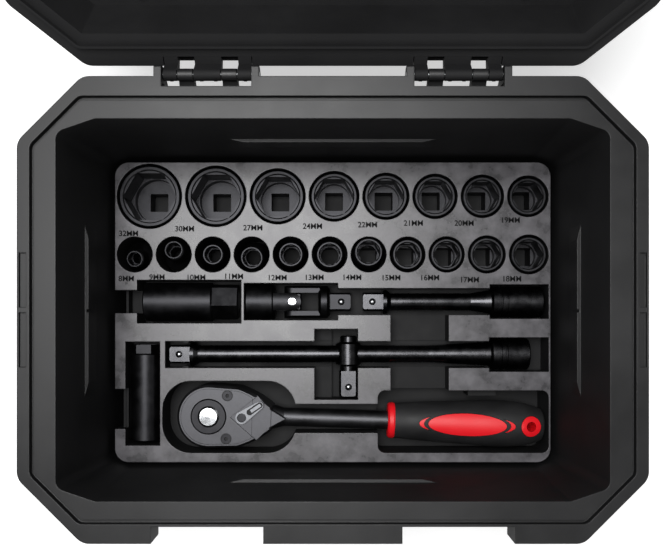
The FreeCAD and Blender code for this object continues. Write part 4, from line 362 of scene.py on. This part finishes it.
def panel(name, middle, width, depth, radiance):
    """A soft light facing down, of this radiance over its whole face."""
    light = bpy.data.lights.new(name, "AREA")
    light.shape = "RECTANGLE"
    light.size = width
    light.size_y = depth
    light.energy = radiance * width * depth * math.pi
    lamp = put(name, light)
    lamp.location = middle


# A wide panel behind and left of the camera greys the rim; a smaller, brighter one greys the deck.
panel("wide_panel", (-0.25, 0.32, 1.35), width=1.1, depth=0.9, radiance=1.1)
panel("bright_panel", (-0.14, 0.15, 1.3), width=0.5, depth=0.62, radiance=11.5)

FLOOR_HALF = 3.0
paper_sheet = bmesh.new()
bmesh.ops.create_grid(paper_sheet, x_segments=1, y_segments=1, size=FLOOR_HALF)
floor_mesh = bpy.data.meshes.new("floor")
paper_sheet.to_mesh(floor_mesh)
paper_sheet.free()
floor = put("floor", floor_mesh)


def showing_rays(tree):
    """One where the camera sees the background, straight or by a reflection or through glass."""
    rays = add(tree, "ShaderNodeLightPath", {})
    mirrored = add(tree, "ShaderNodeMath", {
        "operation": "MAXIMUM", 0: rays.outputs["Is Camera Ray"], 1: rays.outputs["Is Glossy Ray"]})
    shown = add(tree, "ShaderNodeMath", {
        "operation": "MAXIMUM", 0: mirrored.outputs[0], 1: rays.outputs["Is Transmission Ray"]})
    return shown.outputs[0]


# White seamless paper: matt, and seen by the camera as lit evenly to white outside the shadow.
PAPER_GLOW = 0.5
paper = bpy.data.materials.new("white_seamless_paper")
paper.use_nodes = True
tree = paper.node_tree
tree.nodes.clear()
sheet = add(tree, "ShaderNodeBsdfDiffuse", {"Color": linear("#f4f4f4")})
part_lit = add(tree, "ShaderNodeMapRange", {
    "Value": showing_rays(tree), "To Min": 0.0, "To Max": PAPER_GLOW})
glow = add(tree, "ShaderNodeEmission", {"Color": linear("#ffffff"), "Strength": part_lit.outputs[0]})
lit = add(tree, "ShaderNodeAddShader", {0: sheet.outputs[0], 1: glow.outputs[0]})
add(tree, "ShaderNodeOutputMaterial", {"Surface": lit.outputs[0]})
floor_mesh.materials.append(paper)

# The white paper sweeps up round the object, under a dark ceiling that starts over the horizon.
SWEEP_END = 0.35
CEILING_START = 0.65
CEILING_LEVEL = 0.2
FILL_LEVEL = 0.22
world = bpy.data.worlds.new("studio")
bpy.context.scene.world = world
world.use_nodes = True
tree = world.node_tree
tree.nodes.clear()
direction = add(tree, "ShaderNodeTexCoord", {})
height = add(tree, "ShaderNodeSeparateXYZ", {0: direction.outputs["Generated"]})
sweep = add(tree, "ShaderNodeMapRange", {
    "Value": height.outputs["Z"], "From Min": SWEEP_END, "From Max": CEILING_START,
    "To Min": 1.0, "To Max": CEILING_LEVEL})
level = add(tree, "ShaderNodeMapRange", {
    "Value": showing_rays(tree), "To Min": FILL_LEVEL, "To Max": sweep.outputs[0]})
sky = add(tree, "ShaderNodeBackground", {"Color": linear("#ffffff"), "Strength": level.outputs[0]})
add(tree, "ShaderNodeOutputWorld", {"Surface": sky.outputs[0]})

camera = bpy.data.cameras.new("camera")
camera.sensor_width = SENSOR_WIDTH
camera.lens = FOCAL_PIXELS / IMAGE_WIDTH * SENSOR_WIDTH
camera.shift_y = (AXIS_PIXEL_Y - IMAGE_HEIGHT / 2) / IMAGE_WIDTH
camera.clip_start = 0.01
viewer = put("camera", camera)
viewer.location = CAMERA_PLACE
bpy.context.scene.camera = viewer
bpy.context.scene.view_settings.view_transform = "Standard"
